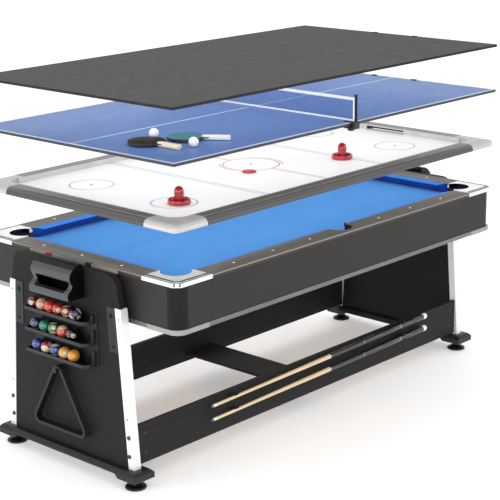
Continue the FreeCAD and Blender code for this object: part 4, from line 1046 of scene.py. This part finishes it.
def cue(node, z):
    st = [(0, 0), (0, 4.4), (0.8, 5.0), (4, 5.5), (7.9, 5.9), (8, 6.15), (8.3, 6.2), (14, 6.4), (27.8, 6.5), (28, 6.45), (28.3, 6.5), (300, 7.2), (500, 8.75), (700, 10.2), (768, 10.45), (769, 10.55), (771, 10.55),
          (771.5, 10.3), (772.5, 10.3), (773, 10.6), (785, 10.6), (820, 11.0), (1000, 12.3), (1010, 12.4), (1010.5, 12.15), (1012, 12.15), (1012.5, 12.45), (1200, 13.6), (1290, 13.9), (1290.5, 13.7), (1292, 13.7), (1292.5, 13.95),
          (1440, 14.45), (1470, 14.55), (1470.4, 14.2), (1471.6, 14.2), (1472, 14.5), (1486, 14.5), (1492, 14.2), (1497, 13.0), (1499.5, 11.0), (1500, 9.5), (1500, 0)]
    prof = [(r * MM, x * MM) for x, r in st]

    def mo(r, h):
        x = h / MM
        if x < 8:
            return 3
        if x < 28:
            return 2
        if x < 768:
            return 0
        if 768.5 < x < 773 or 1010 < x < 1012.5 or 1290 < x < 1292.5:
            return 4
        if x > 1471:
            return 2
        return 1
    o = lathe(node + "_stick", prof, (-0.690, -0.395, z), CM, BODY[node], segs=40, axis="X", mat_of=mo, sharp=35, replaces=(node,))
    c = Vector((0.060, -0.395, z))
    o.data.transform(Matrix.Translation(c) @ Matrix.Rotation(radians(1.0), 4, Vector((0, -1, 0))) @ Matrix.Translation(-c))
    return o


cue("cue_upper", 0.239)
cue("cue_lower", 0.178)

# -------------------------------------------------------------- strikers and puck
HD = 1.0854


def striker(node, x, y):
    raw = [(0, 4), (19.5, 4), (21.5, 0), (46, 0), (48, 2), (48, 16), (46.5, 20.5), (43, 21.2), (40, 18), (37.5, 9.5), (25, 9), (20.5, 12), (19.2, 28), (20.6, 42), (20.4, 54), (16.5, 65), (9, 72), (0, 74)]
    prof = fillet([(r * MM, h * MM) for r, h in raw], [0, 0.002, 0.001, 0.001, 0.001, 0.004, 0.0025, 0.0025, 0.003, 0.004, 0.004, 0.006, 0.01, 0.008, 0.01, 0.008, 0.006, 0], 5)
    fm = moulded(node + "_felt", "#d8d8d6", "#e6e6e4", 0.9, 1.0, grain=900, bstr=0.6)
    return lathe(node + "_turned", prof, (x, y, HD), [M["red"], fm], BODY[node], segs=96, mat_of=lambda r, h: 1 if (h < 0.0006 and r > 0.022) else 0, sharp=50, replaces=(node,))


striker("striker_left", -0.737, -0.281)
striker("striker_right", 0.352, -0.241)
pp = fillet([(0, 0), (0.0295, 0), (0.0314, 0.0016), (0.0314, 0.0049), (0.0295, 0.0065), (0.024, 0.0065), (0.0236, 0.0058), (0.0222, 0.0058), (0.0218, 0.0065), (0, 0.0065)], 0.0006, 3)
lathe("puck_disc", pp, (-0.127, -0.105, HD), M["puck"], "puck", segs=96, sharp=50, replaces=("puck",))

# ------------------------------------------------------------- hockey markings
ZD = 1.085


def hk_blue(v, f):
    z0, z1 = ZD - 0.0003, ZD + 0.00011
    for sx in (-1, 1):
        for sy in (-1, 1):
            cx, cy = sx * 0.735, sy * 0.25
            ring_lists(cx, cy, 0.0925, 0.0975, z0, z1, v, f, 96)
            prism_lists([(cx + 0.009 * cos(2 * pi * k / 24), cy + 0.009 * sin(2 * pi * k / 24)) for k in range(24)], z0, z1, v, f)


def hk_pale(v, f):
    z0, z1 = ZD - 0.0003, ZD + 0.00010
    for sx in (-1, 1):
        for o in (-0.010, 0.010):
            x = sx * 0.385 + o
            prism_lists([(x - 0.0028, -0.5085), (x + 0.0028, -0.5085), (x + 0.0028, 0.5085), (x - 0.0028, 0.5085)], z0, z1, v, f)


def hk_red(v, f):
    z0, z1 = ZD - 0.0003, ZD + 0.00010
    ring_lists(0, 0, 0.1250, 0.1300, z0, z1, v, f, 128)
    for s in (-1, 1):
        a = 0.85
        base = 0.0 if s > 0 else pi
        ring_lists(0, 0, 0.1395, 0.1440, z0, z1, v, f, 48, base - a, base + a)
        for o in (-0.0055, 0.0055):
            y0, y1 = sorted((s * 0.1296, s * 0.5085))
            prism_lists([(o - 0.0018, y0), (o + 0.0018, y0), (o + 0.0018, y1), (o - 0.0018, y1)], z0, z1, v, f)
    prism_lists([(0.0085 * cos(2 * pi * k / 24), 0.0085 * sin(2 * pi * k / 24)) for k in range(24)], z0, z1, v, f)


decal("hockey_circles", M["ink_blue"], "hockey_deck", hk_blue)
decal("hockey_zone_lines", M["ink_pale"], "hockey_deck", hk_pale)
decal("hockey_centre_lines", M["ink_red"], "hockey_deck", hk_red)


# ---------------------------------------------------------------- small trims
def trims():
    # light strip along the outer edge of the pool rails: a painted highlight standing for the shine on the rounded edge
    m = brushed("rail_edge_highlight_paint", "#8f8a83", "#a7a199", (3, 3, 60), 0.3, 0.42, metal=0.2, bstr=0.05)
    v, f = [], []
    for s in (-1, 1):
        a, b = sorted((s * 0.5899, s * 0.5912))
        prism_lists([(-0.868, a), (0.868, a), (0.868, b), (-0.868, b)], 0.8735, 0.8768, v, f)
        a, b = sorted((s * 1.0649, s * 1.0662))
        prism_lists([(a, -0.393), (b, -0.393), (b, 0.393), (a, 0.393)], 0.8755, 0.8782, v, f)
    o = piece("pool_rail_highlight_strip", v, f, m, "table_base", sharp=30)
    b = o.modifiers.new("ease", "BEVEL")
    b.width, b.segments, b.harden_normals = 0.0005, 2, True
    # light strip along the hockey rail shoulder: a painted highlight on the shoulder
    m2 = brushed("hockey_shoulder_highlight_paint", "#8d8b88", "#b0aeab", (3, 3, 60), 0.28, 0.4, metal=0.3, bstr=0.05)
    v, f = [], []
    for s in (-1, 1):
        a, b = sorted((s * (0.590 - 0.0262), s * (0.590 - 0.0245)))
        prism_lists([(-0.889, a), (0.889, a), (0.889, b), (-0.889, b)], 1.1085, 1.1104, v, f)
        a, b = sorted((s * (1.065 - 0.0262), s * (1.065 - 0.0245)))
        prism_lists([(a, -0.414), (b, -0.414), (b, 0.414), (a, 0.414)], 1.1085, 1.1104, v, f)
    piece("hockey_rail_highlight_strip", v, f, m2, "hockey_deck", sharp=30)
    # dark pieces in the groove of each corner casting: painted shade in the groove
    v, f = [], []
    for sx in (-1, 1):
        for sy in (-1, 1):
            c = 0.026
            ox, oy = 1.066, 0.591

            def P(x, y):
                return (sx * x, sy * y)
            L = 0.1885
            for o0, o1, za, zb in ((0.0052, 0.0106, 0.8742, 0.8796), (0.0114, 0.0225, 0.8817, 0.8823)):
                c0, c1 = c - o0 * 0.586, c - o1 * 0.586
                out = [(ox - L, oy - o0), (ox - o0 - c0, oy - o0), (ox - o0, oy - o0 - c0), (ox - o0, oy - L)]
                inn = [(ox - o1, oy - L), (ox - o1, oy - o1 - c1), (ox - o1 - c1, oy - o1), (ox - L, oy - o1)]
                prism_lists([P(*q) for q in out + inn], za, zb, v, f)
            # two short dark pieces on the face across the corner: painted shade where two notches are
            for t in (0.2, 0.8):
                mx, my = ox - c * (1 - t), oy - c * t
                q = 0.7071
                w, dp, pr = 0.0028, 0.003, 0.0004
                prism_lists([P(mx - q * w + q * pr, my + q * w + q * pr), P(mx - q * w - q * dp, my + q * w - q * dp),
                             P(mx + q * w - q * dp, my - q * w - q * dp), P(mx + q * w + q * pr, my - q * w + q * pr)], 0.8655, 0.8786, v, f)
    piece("casting_groove_painted_shade", v, f, M["ink_black"], "table_base", sharp=30)
    # small clips wrapped over the far short edge of the two upper boards
    for nm, body, zt in (("tennis_board_clips", "tennis_top", 1.347), ("dining_board_clips", "dining_top", 1.559)):
        v, f = [], []
        prof = fillet([(1.036, 0.0042), (1.0535, 0.0042), (1.0535, -0.0162), (1.036, -0.0162), (1.036, -0.0124), (1.0503, -0.0124), (1.0503, 0.0003), (1.036, 0.0003)],
                      [0.0008, 0.0018, 0.0018, 0.0008, 0.0004, 0.0004, 0.0004, 0.0004], 3, closed=True)
        k = len(prof)
        for yc in (0.115, -0.128):
            o = len(v)
            for y in (yc - 0.012, yc + 0.012):
                v += [(px, y, zt + pz) for px, pz in prof]
            f.append(tuple(o + i for i in range(k)))
            f.append(tuple(o + k + i for i in reversed(range(k))))
            for i in range(k):
                l = (i + 1) % k
                f.append((o + i, o + l, o + k + l, o + k + i))
        piece(nm, v, f, M["black"], body, sharp=30)
    # tick marks on the score strip
    v, f = [], []
    for i in range(-25, 26):
        y = i * 0.010
        h = 0.0046 if i % 5 == 0 else 0.0028
        w = 0.0006 if i % 5 == 0 else 0.0004
        o = len(v)
        xa, xb = -1.0742, -1.0739
        z1 = 0.8650
        vv = [(xa, y - w, z1 - h * 0.62), (xa, y + w, z1 - h * 0.62), (xa, y + w, z1), (xa, y - w, z1), (xb, y - w, z1 - h * 0.62), (xb, y + w, z1 - h * 0.62), (xb, y + w, z1), (xb, y - w, z1)]
        v += vv
        for q in ((0, 3, 2, 1), (4, 5, 6, 7), (0, 1, 5, 4), (1, 2, 6, 5), (2, 3, 7, 6), (3, 0, 4, 7)):
            f.append(tuple(o + k for k in q))
    piece("score_ticks", v, f, M["ink_black"], "table_base", sharp=30)


trims()

# ---------------------------------------------------------------- stage and light
def stage():
    m = Mat("floor_paint", hexc("#f2f2f2"), rough=0.75, spec=0.2)
    m.color(m.ramp(m.noise(0.6, 3), [(0.3, hexc("#efefef")), (0.7, hexc("#f5f5f5"))]))
    v = [(-45, -45, 0), (45, -45, 0), (45, 45, 0), (-45, 45, 0)]
    m.b.inputs["Emission Color"].default_value = (1, 1, 1, 1)
    m.b.inputs["Emission Strength"].default_value = 0.28
    me = bpy.data.meshes.new("floor")
    me.from_pydata(v, [], [(0, 1, 2, 3)])
    me.materials.append(m.m)
    o = link(bpy.data.objects.new("floor", me))
    o.location = (0, 0, -0.0005)


stage()


def area(name, loc, target, size, energy, color=(1, 1, 1), size_y=None):
    l = bpy.data.lights.new(name, "AREA")
    l.shape = "RECTANGLE"
    l.size = size
    l.size_y = size_y or size
    l.energy = energy
    l.color = color
    o = link(bpy.data.objects.new(name, l))
    o.location = loc
    d = Vector(target) - Vector(loc)
    o.rotation_euler = d.to_track_quat("-Z", "Y").to_euler()
    return o


world = bpy.data.worlds.new("studio")
bpy.context.scene.world = world
world.use_nodes = True
bg = world.node_tree.nodes["Background"]
bg.inputs["Color"].default_value = (1.0, 1.0, 1.0, 1)
bg.inputs["Strength"].default_value = 1.0
wt = world.node_tree
wc = wt.nodes.new("ShaderNodeTexCoord")
ws = wt.nodes.new("ShaderNodeSeparateXYZ")
wr = wt.nodes.new("ShaderNodeValToRGB")
wt.links.new(wc.outputs["Generated"], ws.inputs[0])
wt.links.new(ws.outputs[2], wr.inputs[0])
wr.color_ramp.elements[0].position = 0.0
wr.color_ramp.elements[0].color = (1.2, 1.2, 1.2, 1)
wr.color_ramp.elements[1].position = 0.55
wr.color_ramp.elements[1].color = (0.98, 0.98, 0.98, 1)
wt.links.new(wr.outputs[0], bg.inputs["Color"])
area("camera_side", (-6.1, -4.5, 2.35), (0, 0, 1.0), 4.0, 110, size_y=1.5)
area("left_strip", (-5.6, 1.6, 1.7), (0, 0, 0.9), 3.0, 70, size_y=1.2)
area("right_strip", (3.0, -5.5, 2.2), (0, 0, 1.0), 3.0, 45, size_y=1.2)
# soft panels under each lifted top, so that every playing surface is lit from above
for nm, z, w in (("under_dining", 1.5455, 8.0), ("under_tennis", 1.3335, 7.2), ("under_hockey", 1.033, 7.4)):
    l = area(nm, (0, 0, z), (0, 0, 0), 1.98, w, size_y=1.06)
    l.rotation_euler = (0, 0, 0)
    l.visible_camera = False
    l.visible_glossy = False

cam = bpy.data.cameras.new("camera")
cam.sensor_width = 36.0
cam.lens = 1502.95 * 36.0 / 500.0
cam.clip_end = 200.0
co = link(bpy.data.objects.new("camera", cam))
A, E, RO = radians(-47.368), radians(15.568), radians(-0.683)
back = Vector((sin(A) * cos(E), -cos(A) * cos(E), sin(E)))
fwd = -back
right = fwd.cross(Vector((0, 0, 1))).normalized()
up = right.cross(fwd).normalized()
r2 = cos(RO) * right + sin(RO) * up
u2 = -sin(RO) * right + cos(RO) * up
co.matrix_world = Matrix(((r2.x, u2.x, back.x, -4.878), (r2.y, u2.y, back.y, -4.478), (r2.z, u2.z, back.z, 2.529), (0, 0, 0, 1)))
bpy.context.scene.camera = co
bpy.context.scene.view_settings.view_transform = "Standard"
bpy.context.scene.view_settings.look = "None"


bpy.context.view_layer.update()
